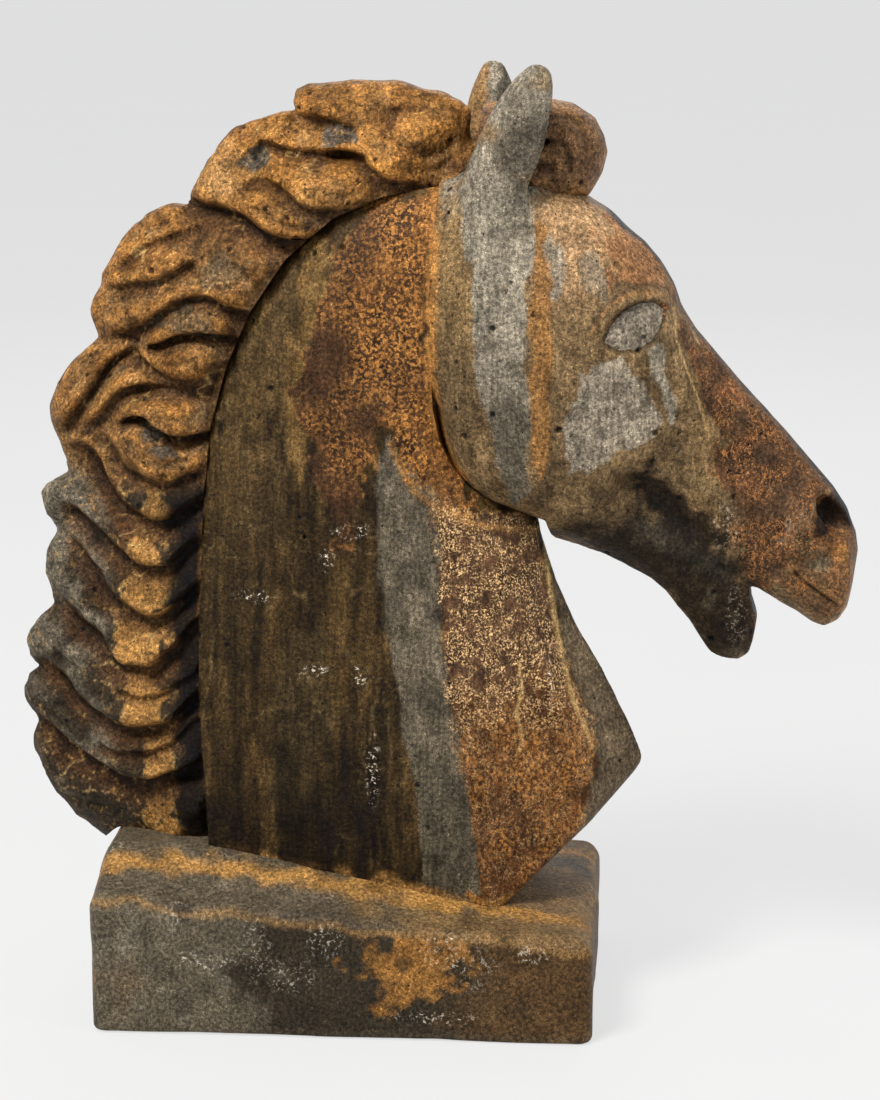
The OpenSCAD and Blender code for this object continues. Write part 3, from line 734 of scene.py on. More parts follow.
def sharpen(points, skin, cut):
    """Move the points of a rounded seam out to the sharp edge between the skin and the cut."""
    a, b = value_at(skin, points), value_at(cut, points)
    low, high = np.minimum(abs(a), abs(b)), np.maximum(abs(a), abs(b))
    chosen = (low > 0.03 * CELL) & (high < 1.1 * CELL)
    p = points[chosen]
    for _ in range(5):
        for field in (skin, cut):
            value = value_at(field, p)
            slope = np.stack([value_at(field, p + e) - value_at(field, p - e) for e in 0.5 * np.eye(3)], 1)
            p = p - np.clip(value / np.maximum((slope**2).sum(1), 1e-3), -0.7, 0.7)[:, None] * slope
    moved = np.abs(p - points[chosen]).max(1) < 1.5
    points[np.flatnonzero(chosen)[moved]] = p[moved]


def surface(name, field, origin, skin=None, cut=None):
    """The zero surface of a field as a Blender mesh object. Returns it with its points."""
    reach = 3 * CELL
    grid = openvdb.FloatGrid(reach)
    grid.copyFromArray(np.clip(np.pad(field, 2, constant_values=reach), -reach, reach).astype(np.float32))
    grid.transform = openvdb.createLinearTransform(voxelSize=CELL)
    points, quads = grid.convertToQuads(0.0)
    points, quads = largest_shell(points, quads[:, ::-1].astype(np.int64))
    points = points / CELL - 2
    if cut is not None:
        sharpen(points, skin, np.broadcast_to(cut, skin.shape))
    points = points * CELL + origin
    mesh = bpy.data.meshes.new(name)
    mesh.vertices.add(len(points))
    mesh.vertices.foreach_set("co", (ORIGIN + points * UNIT).astype(np.float32).ravel())
    mesh.loops.add(quads.size)
    mesh.loops.foreach_set("vertex_index", quads.ravel().astype(np.int32))
    mesh.polygons.add(len(quads))
    mesh.polygons.foreach_set("loop_start", np.arange(0, quads.size, 4, dtype=np.int32))
    mesh.polygons.foreach_set("use_smooth", np.ones(len(quads), bool))
    mesh.update(calc_edges=True)
    mesh.validate()
    mesh.set_sharp_from_angle(angle=math.radians(48))
    obj = bpy.data.objects.new(name, mesh)
    bpy.context.scene.collection.objects.link(obj)
    return obj, points


def build(name, block, skin, cut, square, node):
    obj, points = surface(name, np.maximum(skin, cut), block.origin, skin, cut)
    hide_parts(node)
    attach(obj, "root")
    built[name] = (obj, points, square)


built = {}

# neck
block, skin = bust_block((-105, 60), (195, 560), neck_square, 11)
skin = round_max(skin, block.plane(CHEST_UNDER), 6)
pits(block, skin, neck_square, 260, 1)
cut = np.maximum(JOINT - block.plane(NECK_REGION), plinth_top(block.x, block.y) + JOINT - block.z)
build("neck_casting", block, skin, cut, neck_square, "neck")

# head, ears and eyes
block, skin = bust_block((40, 215), (340, 622), head_square, 21)
face = skin.copy()
for side in (-1, 1):
    skin = round_max(skin, -nostril(block, side), 2.0)
ear_fields = ears(block)
for ear in ear_fields:
    skin = soft_min(skin, ear, 9)
pits(block, skin, np.maximum(head_square, 0), 330, 2)
ear_zones = [np.maximum(EAR_FOOT_Z - block.z, ear - EAR_REACH) for ear in ear_fields]
half = np.sqrt(np.maximum(block.plane(head_square), 0))
in_eye = block.plane(eye_depth)
seat = np.maximum(-in_eye, half - EYE_SEAT - np.abs(block.y))
cut = JOINT - np.minimum(np.minimum(*ear_zones), seat)
cut = np.maximum(cut, JOINT - block.plane(HEAD_REGION))
build("head_casting", block, skin, cut, head_square, "head")
for name, zone, node in (
    ("ear_right_casting", ear_zones[0], "ear_right"),
    ("ear_left_casting", ear_zones[1], "ear_left"),
):
    build(name, block, skin, zone + JOINT, head_square, node)
eye_pits = np.where(eye_depth > 2, head_square, 0)
for name, sign, node in (("eye_right_disc", -1, "eye_right"), ("eye_left_disc", 1, "eye_left")):
    disc = face.copy()
    pits(block, disc, eye_pits, 9, 31 + sign, 0.3, 0.9)
    cut = np.maximum(JOINT - in_eye, half - EYE_SEAT + JOINT - sign * block.y)
    build(name, block, disc, cut, head_square, node)

# mane
for name, node, low, high, above, below, count, seed in (
    ("mane_crest_casting", "mane_crest", (-125, 485), (100, 612), ABOVE_UPPER, None, 300, 51),
    ("mane_middle_casting", "mane_middle", (-210, 310), (5, 530), ABOVE_LOWER, ABOVE_UPPER, 280, 61),
    ("mane_fall_casting", "mane_fall", (-232, 60), (-70, 362), None, ABOVE_LOWER, 260, 71),
):
    block, skin = bust_block(low, high, mane_square, seed)
    skin += 0.9 * np.abs(roughen(skin.shape, 13, seed + 7)) + 0.4 * np.abs(roughen(skin.shape, 5.5, seed + 8))
    pits(block, skin, mane_square, count, seed + 5)
    cut = JOINT - block.plane(BEHIND_NECK)
    if above is not None:
        cut = np.maximum(cut, JOINT - block.plane(above))
    if below is not None:
        cut = np.maximum(cut, JOINT + block.plane(below))
    for ear in ears(block):
        cut = np.maximum(cut, JOINT - ear)
    on_head = np.where(block.x > 54, block.plate(head_square), 1e3)
    cut = np.maximum(cut, JOINT - on_head)
    cut = np.maximum(cut, plinth_top(block.x, block.y) + JOINT - block.z)
    build(name, block, skin, cut, mane_square, node)

# forelock
block, skin = bust_block((55, 510), (170, 600), forelock_square, 81)
skin += 0.3 * np.abs(roughen(skin.shape, 8, 87))
pits(block, skin, forelock_square, 50, 85)
cut = JOINT - block.plate(head_square)
before_mane = polygon_depth([(60, 500), (66, 536), (80, 560), (88, 626), (200, 626), (200, 500)])
cut = np.maximum(cut, JOINT - block.plane(before_mane))
for ear in ears(block):
    cut = np.maximum(cut, JOINT - ear)
build("forelock_casting", block, skin, cut, forelock_square, "forelock")

# plinth
px = np.arange(-168.0, 168.1, CELL, dtype=np.float32)[:, None, None]
py = np.arange(-114.0, 114.1, CELL, dtype=np.float32)[None, :, None]
pz = np.arange(-6.0, 132.0, CELL, dtype=np.float32)[None, None, :]
bulge = REAR_BULGE * rise(-px / 158)
qx = np.abs(px) - bulge - PLINTH_LENGTH / 2 + PLINTH_CORNER
qy = np.abs(py) - PLINTH_WIDTH / 2 + PLINTH_CORNER
sides = np.hypot(np.maximum(qx, 0), np.maximum(qy, 0)) + np.minimum(np.maximum(qx, qy), 0) - PLINTH_CORNER
top = pz - plinth_top(px, py)
field = round_max(sides + 0 * pz, top, PLINTH_EDGE)
field = round_max(field, -pz + 0 * sides, PLINTH_FOOT_EDGE)
field += 0.9 * roughen(field.shape, 55, 91) + 0.25 * roughen(field.shape, 12, 92)
plinth_origin = np.array([px[0, 0, 0], py[0, 0, 0], pz[0, 0, 0]], float)
obj, points = surface("plinth_casting", np.maximum(field, 0.2 - pz), plinth_origin)
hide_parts("plinth")
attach(obj, "root")
built["plinth_casting"] = (obj, points, None)

# ---- stain, painted shade and painted highlights, worked out at every point of the castings ----

GREY, GREY_SHADE, GREY_DARK = (0.24, 0.205, 0.15), (0.115, 0.094, 0.065), (0.06, 0.048, 0.032)
OLIVE, OLIVE_DARK, OLIVE_PALE = (0.036, 0.021, 0.007), (0.01, 0.006, 0.002), (0.095, 0.055, 0.018)
WASH, WASH_PALE, WASH_DARK = (0.145, 0.092, 0.042), (0.22, 0.14, 0.066), (0.065, 0.04, 0.019)
OCHRE, ORANGE, STRAW = (0.28, 0.13, 0.034), (0.4, 0.17, 0.034), (0.5, 0.32, 0.12)
# Painted shade: under the jaw, and in the mouth's cleft and the crease of the lip
JAW_PAINTED_SHADE, MOUTH_PAINTED_SHADE = (0.012, 0.008, 0.004), (0.015, 0.008, 0.004)

DRIP_BAND = [
    (74, 540), (95, 548), (116, 537), (114, 509), (112, 466), (114, 429), (113, 385),
    (113, 344), (104, 337), (95, 353), (88, 384), (83, 416), (78, 447), (76, 478), (72, 509),
]
CHEEK_PATCH = [
    (141, 409), (152, 426), (171, 432), (184, 418), (190, 400), (189, 384), (179, 373),
    (165, 367), (154, 357), (142, 361), (138, 387),
]
EAR_FOOT = [(60, 480), (58, 520), (66, 560), (130, 560), (118, 520), (114, 480)]
TEAR_STREAK = [(187, 436), (195, 439), (198, 423), (203, 410), (206, 402), (201, 393), (196, 405), (190, 420)]
OCHRE_DRIP = [(116, 513), (128, 513), (130, 449), (128, 367), (120, 354), (116, 417)]
GREY_HOOK = [(120, 504), (127, 506), (135, 490), (135, 472), (130, 472), (127, 490)]
BROW_PATCH = [(146, 500), (157, 494), (164, 476), (161, 467), (151, 473), (146, 486)]
TEMPLE_RUST = [(170, 532), (200, 514), (214, 490), (216, 466), (182, 472), (164, 470), (157, 491)]
NOSE_RUST = [
    (204, 466), (222, 455), (252, 415), (290, 384), (322, 344), (328, 302), (320, 262),
    (298, 258), (276, 278), (257, 289), (241, 297), (237, 339), (230, 377), (221, 403), (213, 434),
]
# The underside of the jaw and chin, where shade is painted
JAW_SHADE = [
    (118, 322), (158, 326), (190, 336), (215, 325), (244, 299), (262, 280), (264, 230),
    (223, 222), (197, 270), (150, 296),
]
# The hollow behind the cheek, where shade is painted
CHEEK_HOLLOW = [(174, 359), (189, 363), (215, 341), (234, 315), (221, 305), (190, 326)]
LEOPARD = [
    (-26, 384), (-21, 447), (-9, 489), (16, 519), (52, 530), (57, 497), (53, 448), (54, 404),
    (66, 358), (86, 330), (59, 326), (34, 359), (24, 377), (10, 353), (-1, 314), (-10, 327), (-18, 352),
]
NECK_DRIP = [(-16, 500), (-8, 491), (-17, 447), (-24, 390), (-31, 350), (-38, 372), (-35, 440), (-30, 485)]
GREY_STRIPE = [
    (24, 378), (36, 362), (53, 342), (55, 303), (60, 252), (67, 199), (77, 147), (89, 84),
    (73, 70), (53, 80), (45, 139), (34, 192), (25, 251), (20, 303), (19, 347),
]
CHEST = [
    (53, 344), (78, 331), (120, 319), (128, 277), (137, 226), (158, 173), (150, 120), (105, 70),
    (92, 70), (78, 145), (66, 198), (60, 250), (54, 302),
]
CHEST_RUST = [(74, 208), (137, 220), (160, 170), (150, 118), (105, 68), (91, 70), (76, 142)]
BREAST_FACET = [
    (122, 308), (146, 269), (180, 210), (194, 162), (161, 128), (150, 118), (158, 166), (140, 223),
    (128, 269),
]
NECK_REAR = [
    (-92, 338), (-84, 415), (-56, 468), (-28, 494), (-34, 434), (-38, 377), (-49, 300), (-70, 100),
    (-96, 100),
]
PLINTH_PATCH = [(18, 54), (34, 70), (56, 74), (80, 71), (84, 56), (69, 35), (50, 23), (32, 30)]
SWAG_ORANGE = [
    (-134, 352), (-116, 350), (-117, 330), (-122, 306), (-119, 280), (-123, 258), (-121, 242), (-123, 223),
    (-122, 198), (-117, 179), (-115, 150), (-112, 100), (-132, 86), (-134, 170), (-146, 190), (-150, 222),
    (-152, 240), (-154, 258), (-142, 296), (-136, 328),
]
SWAG_RUST = [
    (-184, 366), (-170, 372), (-146, 336), (-132, 306), (-124, 284), (-136, 290), (-152, 310),
    (-168, 340),
]
# White scuffs: centre and radii, on the neck and on the plinth's side
NECK_SCUFFS = [
    ((3, 318), (16, 7)), ((-13, 300), (6, 10)), ((-60, 275), (16, 5)), ((-22, 228), (13, 5)),
    ((8, 225), (6, 12)), ((16, 165), (6, 30)), ((128, 218), (3, 26)),
]
PLINTH_SCUFFS = [
    ((-10, 66), (16, 15)), ((80, 52), (26, 8)), ((120, 60), (16, 9)), ((-90, 50), (30, 8)),
    ((60, 16), (40, 6)),
]


def noise_at(points, waves, seed):
    """Smooth random values at points, with a wavelength along each axis."""
    table = np.random.default_rng(seed).standard_normal((32, 32, 32)).astype(np.float32)
    grid = points / np.asarray(waves, float) + 1000.37
    cell = np.floor(grid).astype(int)
    part = rise(grid - cell)
    total = 0
    for corner in np.ndindex(2, 2, 2):
        share = np.prod(np.where(corner, part, 1 - part), axis=1)
        i = (cell + corner) % 32
        total = total + share * table[i[:, 0], i[:, 1], i[:, 2]]
    return total


def map_at(m, points):
    """A map's values at points."""
    gx = np.clip((points[:, 0] - xs[0]) / CELL, 0, len(xs) - 1.001)
    gz = np.clip((points[:, 2] - zs[0]) / CELL, 0, len(zs) - 1.001)
    i, k = gx.astype(int), gz.astype(int)
    f, g = gx - i, gz - k
    low = m[i, k] * (1 - f) + m[i + 1, k] * f
    high = m[i, k + 1] * (1 - f) + m[i + 1, k + 1] * f
    return low * (1 - g) + high * g


class StainAndPaintedShade:
    """Colours laid one over another on a casting's points, stain and painted shade alike, and where the
    flecks go.
    """

    def __init__(self, points, base):
        self.points = points
        self.x, self.y, self.z = points.T
        self.colour = np.tile(np.array(base, float), (len(points), 1))
        self.flecks = np.zeros((len(points), 4))

    def noise(self, wave, seed, drip=1.0):
        return noise_at(self.points, (wave, wave, wave * drip), seed)

    def wash(self, share, colour):
        self.colour += np.clip(share, 0, 1)[:, None] * (np.array(colour) - self.colour)

    def shade(self, amount):
        self.colour *= np.clip(1 + amount, 0.1, 2.5)[:, None]

    def area(self, outline, soft=6, ragged=4, drip=1.0, seed=0):
        """How far each point is in a stained area with a ragged edge."""
        wobble = self.noise(11, seed, drip) + 0.6 * self.noise(4, seed + 1, drip)
        depth = polygon_depth(outline, self.x, self.z) + ragged * wobble
        self.border = np.clip(1 - np.abs(depth) / 1.5, 0, 1) * rise(0.7 + self.noise(19, seed + 500))
        return rise(0.5 + depth / (0.6 * soft))

    def spot(self, centre, radii):
        u, v = (self.x - centre[0]) / radii[0], (self.z - centre[1]) / radii[1]
        return rise(1.6 * (1 - np.sqrt(u * u + v * v)))

    def line(self, path, width):
        best = np.full(len(self.x), 1e9)
        p = resample(path, 4)
        for a, b in zip(p, p[1:]):
            best = np.minimum(best, segment_distance(self.x, self.z, a, b)[0])
        return np.clip(1.3 * (1 - best / width), 0, 1)

    def cracks(self, wave, width, seed):
        """Thin wandering lines, in patches."""
        line = np.clip(1 - np.abs(self.noise(wave, seed)) / width, 0, 1)
        return line * rise(self.noise(2.3 * wave, seed + 1) + 0.3)

    def paint(self, shape, rows):
        """Washes laid in turn: the share, what this kind of shape takes, and the colour."""
        for share, given, colour in rows:
            self.wash(share * shape(*given), colour)

    def fleck(self, channel, share):
        self.flecks[:, channel] = np.maximum(self.flecks[:, channel], np.clip(share, 0, 1))

    def on(self, obj):
        low, high = self.points.min(0) - 3, self.points.max(0) + 3
        for x, y, z, r in air_holes:
            if (low < (x, y, z)).all() and ((x, y, z) < high).all():
                near = np.flatnonzero(np.abs(self.x - x) < r)
                d = np.linalg.norm(self.points[near] - (x, y, z), axis=1)
                self.colour[near] *= np.where(d < 1.05 * r, 0.15, 1)[:, None]
        full = np.ones((len(self.points), 4))
        full[:, :3] = np.clip(self.colour, 0.004, 0.9)
        for name, values in (("tint", full), ("flecks", self.flecks)):
            layer = obj.data.attributes.new(name, "FLOAT_COLOR", "POINT")
            layer.data.foreach_set("color", values.astype(np.float32).ravel())


LEOPARD_FLECK, DOT_FLECK, RING_FLECK, SCUFF_FLECK = range(4)

# How far each map lies below its surroundings, which sets the painted shade in hollows and the painted
# highlight on rises
neck_hollow, head_hollow, mane_hollow = (
    blur(half_map(m), 5) - half_map(m) for m in (neck_square, head_square, mane_square)
)


def stain_and_shade_neck(points):
    s = StainAndPaintedShade(points, OLIVE)
    streaks = s.noise(7, 1, 14) + 0.7 * s.noise(3, 2, 20)
    s.wash(0.5 * rise(streaks), OLIVE_PALE)
    s.wash(0.7 * rise(-streaks - 0.1), OLIVE_DARK)
    s.wash(0.6 * s.area(NECK_REAR, 14, 8, 3, 3) * rise((s.z - 230) / 180), (0.1, 0.06, 0.022))
    s.wash(
        0.7 * s.area([(-42, 250), (-20, 250), (-14, 190), (-22, 110), (-44, 110), (-50, 190)], 12, 6, 4, 26),
        (0.05, 0.033, 0.013),
    )
    s.wash(0.5 * rise((s.z - 490) / 40), (0.085, 0.05, 0.02))
    s.wash(0.5 * rise(s.noise(12, 4, 8) - 0.9), (0.2, 0.11, 0.035))
    s.wash(0.8 * s.area(NECK_DRIP, 8, 5, 5, 5), (0.15, 0.085, 0.026))
    s.wash(0.5 * rise(1.4 * s.noise(9, 213, 3) - 0.9), (0.014, 0.008, 0.003))
    s.wash(0.45 * s.cracks(8, 0.12, 215), (0.15, 0.1, 0.042))
    leopard = s.area(LEOPARD, 9, 7, 1.5, 7)
    s.wash(0.95 * leopard, (0.06, 0.028, 0.012))
    s.wash(0.55 * s.border, OCHRE)
    s.wash(0.5 * leopard * rise(s.noise(14, 8) + (s.x - 20) / 40), (0.17, 0.072, 0.02))
    s.fleck(LEOPARD_FLECK, leopard * rise(0.62 + 0.4 * s.noise(22, 9) + (s.x - 20) / 110 + (s.z - 440) / 400))
    chest = s.area(CHEST, 6, 3, 2, 11)
    s.wash(chest, (0.1, 0.05, 0.025))
    s.wash(0.5 * s.border, OCHRE)
    s.wash(0.9 * s.area(CHEST_RUST, 40, 8, 2, 13), (0.085, 0.032, 0.009))
    low = rise((230 - s.z) / 60)
    s.fleck(DOT_FLECK, chest * (1 - 0.75 * low))
    s.fleck(LEOPARD_FLECK, 0.75 * chest * low * rise(0.6 + 0.6 * s.noise(15, 14)))
    s.wash(0.9 * s.area(BREAST_FACET, 9, 3, 3, 15), (0.125, 0.09, 0.053))
    scratch = np.clip(1 - np.abs(s.noise(6, 24, 9)) / 0.1, 0, 1) * rise(s.noise(26, 25) + 0.1)
    s.wash(0.55 * scratch * (1 - chest) * (1 - leopard), (0.17, 0.11, 0.045))
    stripe = s.area(GREY_STRIPE, 5, 2.5, 5, 17)
    s.wash(0.95 * stripe, (0.115, 0.093, 0.062))
    s.wash(stripe * rise((240 - s.z) / 140) * 0.75, (0.07, 0.057, 0.036))
    s.paint(s.line, [
        (0.8, ([(27, 374), (37, 352), (49, 338), (80, 322), (118, 312)], 3.0), (0.32, 0.16, 0.05)),
        (0.75, ([(123, 299), (127, 272), (133, 240), (142, 207), (156, 172)], 2.2), STRAW),
        (0.75, ([(108, 232), (110, 214), (107, 200), (111, 188), (109, 176)], 1.6), STRAW),
        (0.8, ([(78, 84), (97, 71), (112, 82), (150, 116)], 3), ORANGE),
    ])
    s.wash(0.75 * s.line(JAW_LINE[:6], 5) * rise(1 + s.noise(10, 18)), (0.4, 0.18, 0.045))
    foot = s.z - plinth_top(s.x, s.y)
    s.wash(0.75 * rise((9 + 5 * s.noise(14, 19) - foot) / 7), (0.3, 0.155, 0.045))
    front = rise((s.x - 120) / 60) * rise(1 - np.abs(s.y) / 30)
    s.wash(0.5 * front, (0.115, 0.08, 0.045))
    for centre, radii in NECK_SCUFFS:
        s.fleck(SCUFF_FLECK, 0.8 * s.spot(centre, radii))
    s.wash(
        0.85 * rise((215 - s.z) / 80) * rise((30 - s.x) / 30) * rise(1.0 + s.noise(12, 27, 5)),
        (0.008, 0.005, 0.002),
    )
    # painted shade in the neck's hollows and painted highlight on its rises
    s.shade(-0.15 * map_at(neck_hollow, points))
    s.shade(0.24 * s.noise(10, 21) + 0.16 * s.noise(3.5, 22, 4))
    return s


def stain_and_shade_head(points):
    s = StainAndPaintedShade(points, WASH)
    streaks = s.noise(8, 31, 9) + 0.6 * s.noise(3.5, 32, 12)
    s.wash(0.6 * rise(streaks), WASH_PALE)
    s.wash(0.55 * rise(-streaks - 0.1), WASH_DARK)
    s.wash(0.65 * rise((340 - s.x - s.z) / 90), OLIVE)
    s.wash(0.7 * rise((118 - s.x) / 20) * rise((s.z - 420) / 40), (0.24, 0.15, 0.062))
    s.paint(s.spot, [
        (0.7, ((66, 396), (20, 60)), (0.06, 0.04, 0.019)),
        (0.85, ((138, 500), (38, 50)), (0.36, 0.215, 0.105)),
        (0.6, ((224, 356), (16, 50)), (0.24, 0.145, 0.062)),
    ])
    s.wash(0.8 * s.area(TEMPLE_RUST, 14, 6, 1, 33), (0.23, 0.105, 0.042))
    nose = s.area(NOSE_RUST, 14, 7, 1.5, 35)
    s.wash(0.95 * nose, (0.066, 0.034, 0.017))
    s.wash(0.5 * s.border, OCHRE)
    s.wash(0.7 * nose * rise(s.noise(18, 36) - 0.1), (0.15, 0.065, 0.03))
    s.wash(0.55 * nose * rise(-s.noise(13, 67) - 0.2), (0.045, 0.022, 0.011))
    s.fleck(RING_FLECK, nose * rise(0.75 + 0.7 * s.noise(12, 69)))
    s.wash(0.6 * s.spot((300, 290), (30, 34)), (0.16, 0.088, 0.04))
    s.wash(
        0.7 * s.area([(284, 334), (281, 312), (290, 296), (300, 297), (292, 312), (291, 332)], 8, 2),
        (0.085, 0.07, 0.042),
    )
    s.paint(s.cracks, [
        (0.4, (9, 0.14, 209), WASH_DARK),
        (0.35, (7, 0.1, 211), (0.3, 0.19, 0.085)),
    ])
    # painted shade under the jaw and chin
    s.wash(0.95 * s.area(JAW_SHADE, 44, 7, 1.5, 37), JAW_PAINTED_SHADE)
    s.wash(0.4 * s.line([(186, 318), (204, 312), (222, 304), (238, 292)], 12), (0.06, 0.05, 0.035))
    # greyer patches that break up the painted shade under the jaw
    s.wash(0.35 * rise(s.noise(8, 60) - 0.3) * s.area(JAW_SHADE, 44, 7, 1.5, 37), (0.085, 0.066, 0.04))
    s.wash(0.5 * s.line([(214, 352), (228, 345), (240, 330), (243, 306)], 9), (0.13, 0.09, 0.045))
    s.fleck(SCUFF_FLECK, 0.3 * s.spot((238, 322), (12, 22)))
    s.fleck(SCUFF_FLECK, 0.3 * s.spot((246, 262), (9, 26)))
    s.paint(s.area, [
        # painted shade in the hollow behind the cheek
        (0.9, (CHEEK_HOLLOW, 20, 4, 1, 39), (0.009, 0.006, 0.004)),
        (0.9, (OCHRE_DRIP, 6, 3, 5, 41), (0.27, 0.13, 0.04)),
    ])
    band = s.area(DRIP_BAND, 5, 3.5, 2.5, 43)
    s.wash(band, GREY)
    s.wash(0.6 * band * rise(s.noise(9, 44) - 0.1), GREY_SHADE)
    s.wash(0.85 * band * rise((440 - s.z) / 50), (0.095, 0.077, 0.052))
    patch = s.area(CHEEK_PATCH, 5, 4, 1, 45)
    s.wash(0.95 * patch, (0.265, 0.22, 0.16))
    s.wash(0.5 * s.border, (0.2, 0.12, 0.05))
    s.wash(0.5 * patch * rise(s.noise(7, 46)), GREY_SHADE)
    s.paint(s.area, [
        (0.9, (TEAR_STREAK, 3, 1.5, 2, 47), (0.26, 0.22, 0.16)),
        (0.85, (GREY_HOOK, 4, 2, 1, 49), GREY),
        (0.6, (BROW_PATCH, 7, 3, 1, 51), (0.21, 0.18, 0.13)),
    ])
    s.wash(0.9 * s.line(JAW_LINE[:8], 6.5) * rise(1.2 + s.noise(9, 53)), (0.4, 0.18, 0.045))
    s.paint(s.line, [
        (0.6, ([(203, 459), (205, 440), (212, 420), (218, 405), (226, 380)], 1.1), STRAW),
        (0.6, ([(297, 352), (306, 360), (300, 371), (296, 376)], 1.5), STRAW),
        (0.7, ([(152, 446), (158, 457), (168, 467), (183, 471), (196, 468)], 2), (0.25, 0.13, 0.05)),
        # painted shade in the groove round the eye disc and in the crease over the lid
        (0.75, (EYE_OUTLINE + EYE_OUTLINE[:1], 2.2), (0.05, 0.034, 0.02)),
        (0.6, ([(150, 449), (160, 463), (172, 472), (186, 475), (200, 470)], 1.6), (0.05, 0.03, 0.015)),
        (0.5, ([(279, 297), (286, 289), (297, 282), (309, 273)], 4.5), (0.3, 0.15, 0.05)),
        # painted shade in the crease of the lip
        (0.9, ([(281, 294), (287, 287), (297, 280), (309, 271)], 1.6), MOUTH_PAINTED_SHADE),
    ])
    # painted shade inside the nostril
    opening = s.area(
        [(292, 313), (292, 328), (298, 340), (307, 339), (322, 327), (322, 316), (306, 320)], 8, 2,
    )
    s.wash(0.93 * opening, (0.012, 0.007, 0.004))
    s.flecks[:, RING_FLECK] *= 1 - np.maximum(opening, 0.8 * s.spot((300, 300), (9, 10)))
    s.wash(0.8 * s.spot((310, 306), (8, 9)), (0.3, 0.14, 0.04))
    s.wash(0.5 * s.line([(291, 312), (290, 328), (296, 341), (306, 343)], 2), (0.3, 0.2, 0.1))
    s.wash(0.75 * s.spot((299, 299), (7, 9)), (0.1, 0.085, 0.052))
    s.wash(0.5 * s.spot((274, 322), (9, 14)) * rise(s.noise(7, 66) + 0.4), (0.26, 0.2, 0.14))
    s.paint(s.spot, [
        (0.9, ((182, 347), (3.2, 2.6)), (0.006, 0.004, 0.003)),
        # painted shade in the cleft of the mouth
        (0.85, ((252, 262), (7, 22)), MOUTH_PAINTED_SHADE),
    ])
    ear_wash(s, rise((s.z - 512 + 6 * s.noise(9, 58)) / 22) * s.area(EAR_FOOT, 10, 5, 2, 59))
    # painted shade in the head's hollows below the ears and painted highlight on its rises
    s.shade(-0.15 * map_at(head_hollow, points) * rise((530 - s.z) / 20))
    s.shade(0.2 * s.noise(10, 55) + 0.12 * s.noise(3.5, 56))
    return s


def stain_eye(points):
    s = StainAndPaintedShade(points, (0.23, 0.19, 0.14))
    s.shade(0.14 * s.noise(6, 61) + 0.07 * s.noise(2.5, 62))
    return s


def ear_wash(s, share):
    s.wash(share, GREY)
    s.wash(share * 0.75 * rise(s.noise(9, 63, 2) + 0.1), GREY_SHADE)
    s.wash(share * 0.8 * rise(1.3 - np.abs(s.z - 562) / 26) * rise((s.x - 92) / 10), (0.085, 0.069, 0.047))
    s.wash(share * 0.7 * rise(s.noise(14, 64) - 0.5), (0.2, 0.12, 0.05))
    s.wash(share * 0.5 * rise(s.noise(6, 68) - 0.8), GREY_DARK)
    far = rise((s.y - 10) / 20)
    s.wash(share * 0.8 * far * rise((86 - s.x + 3 * s.noise(6, 65)) / 6), (0.28, 0.15, 0.05))


def stain_ear(points):
    s = StainAndPaintedShade(points, GREY)
    ear_wash(s, np.ones(len(s.x)))
    s.shade(0.2 * s.noise(10, 55) + 0.12 * s.noise(3.5, 56))
    return s


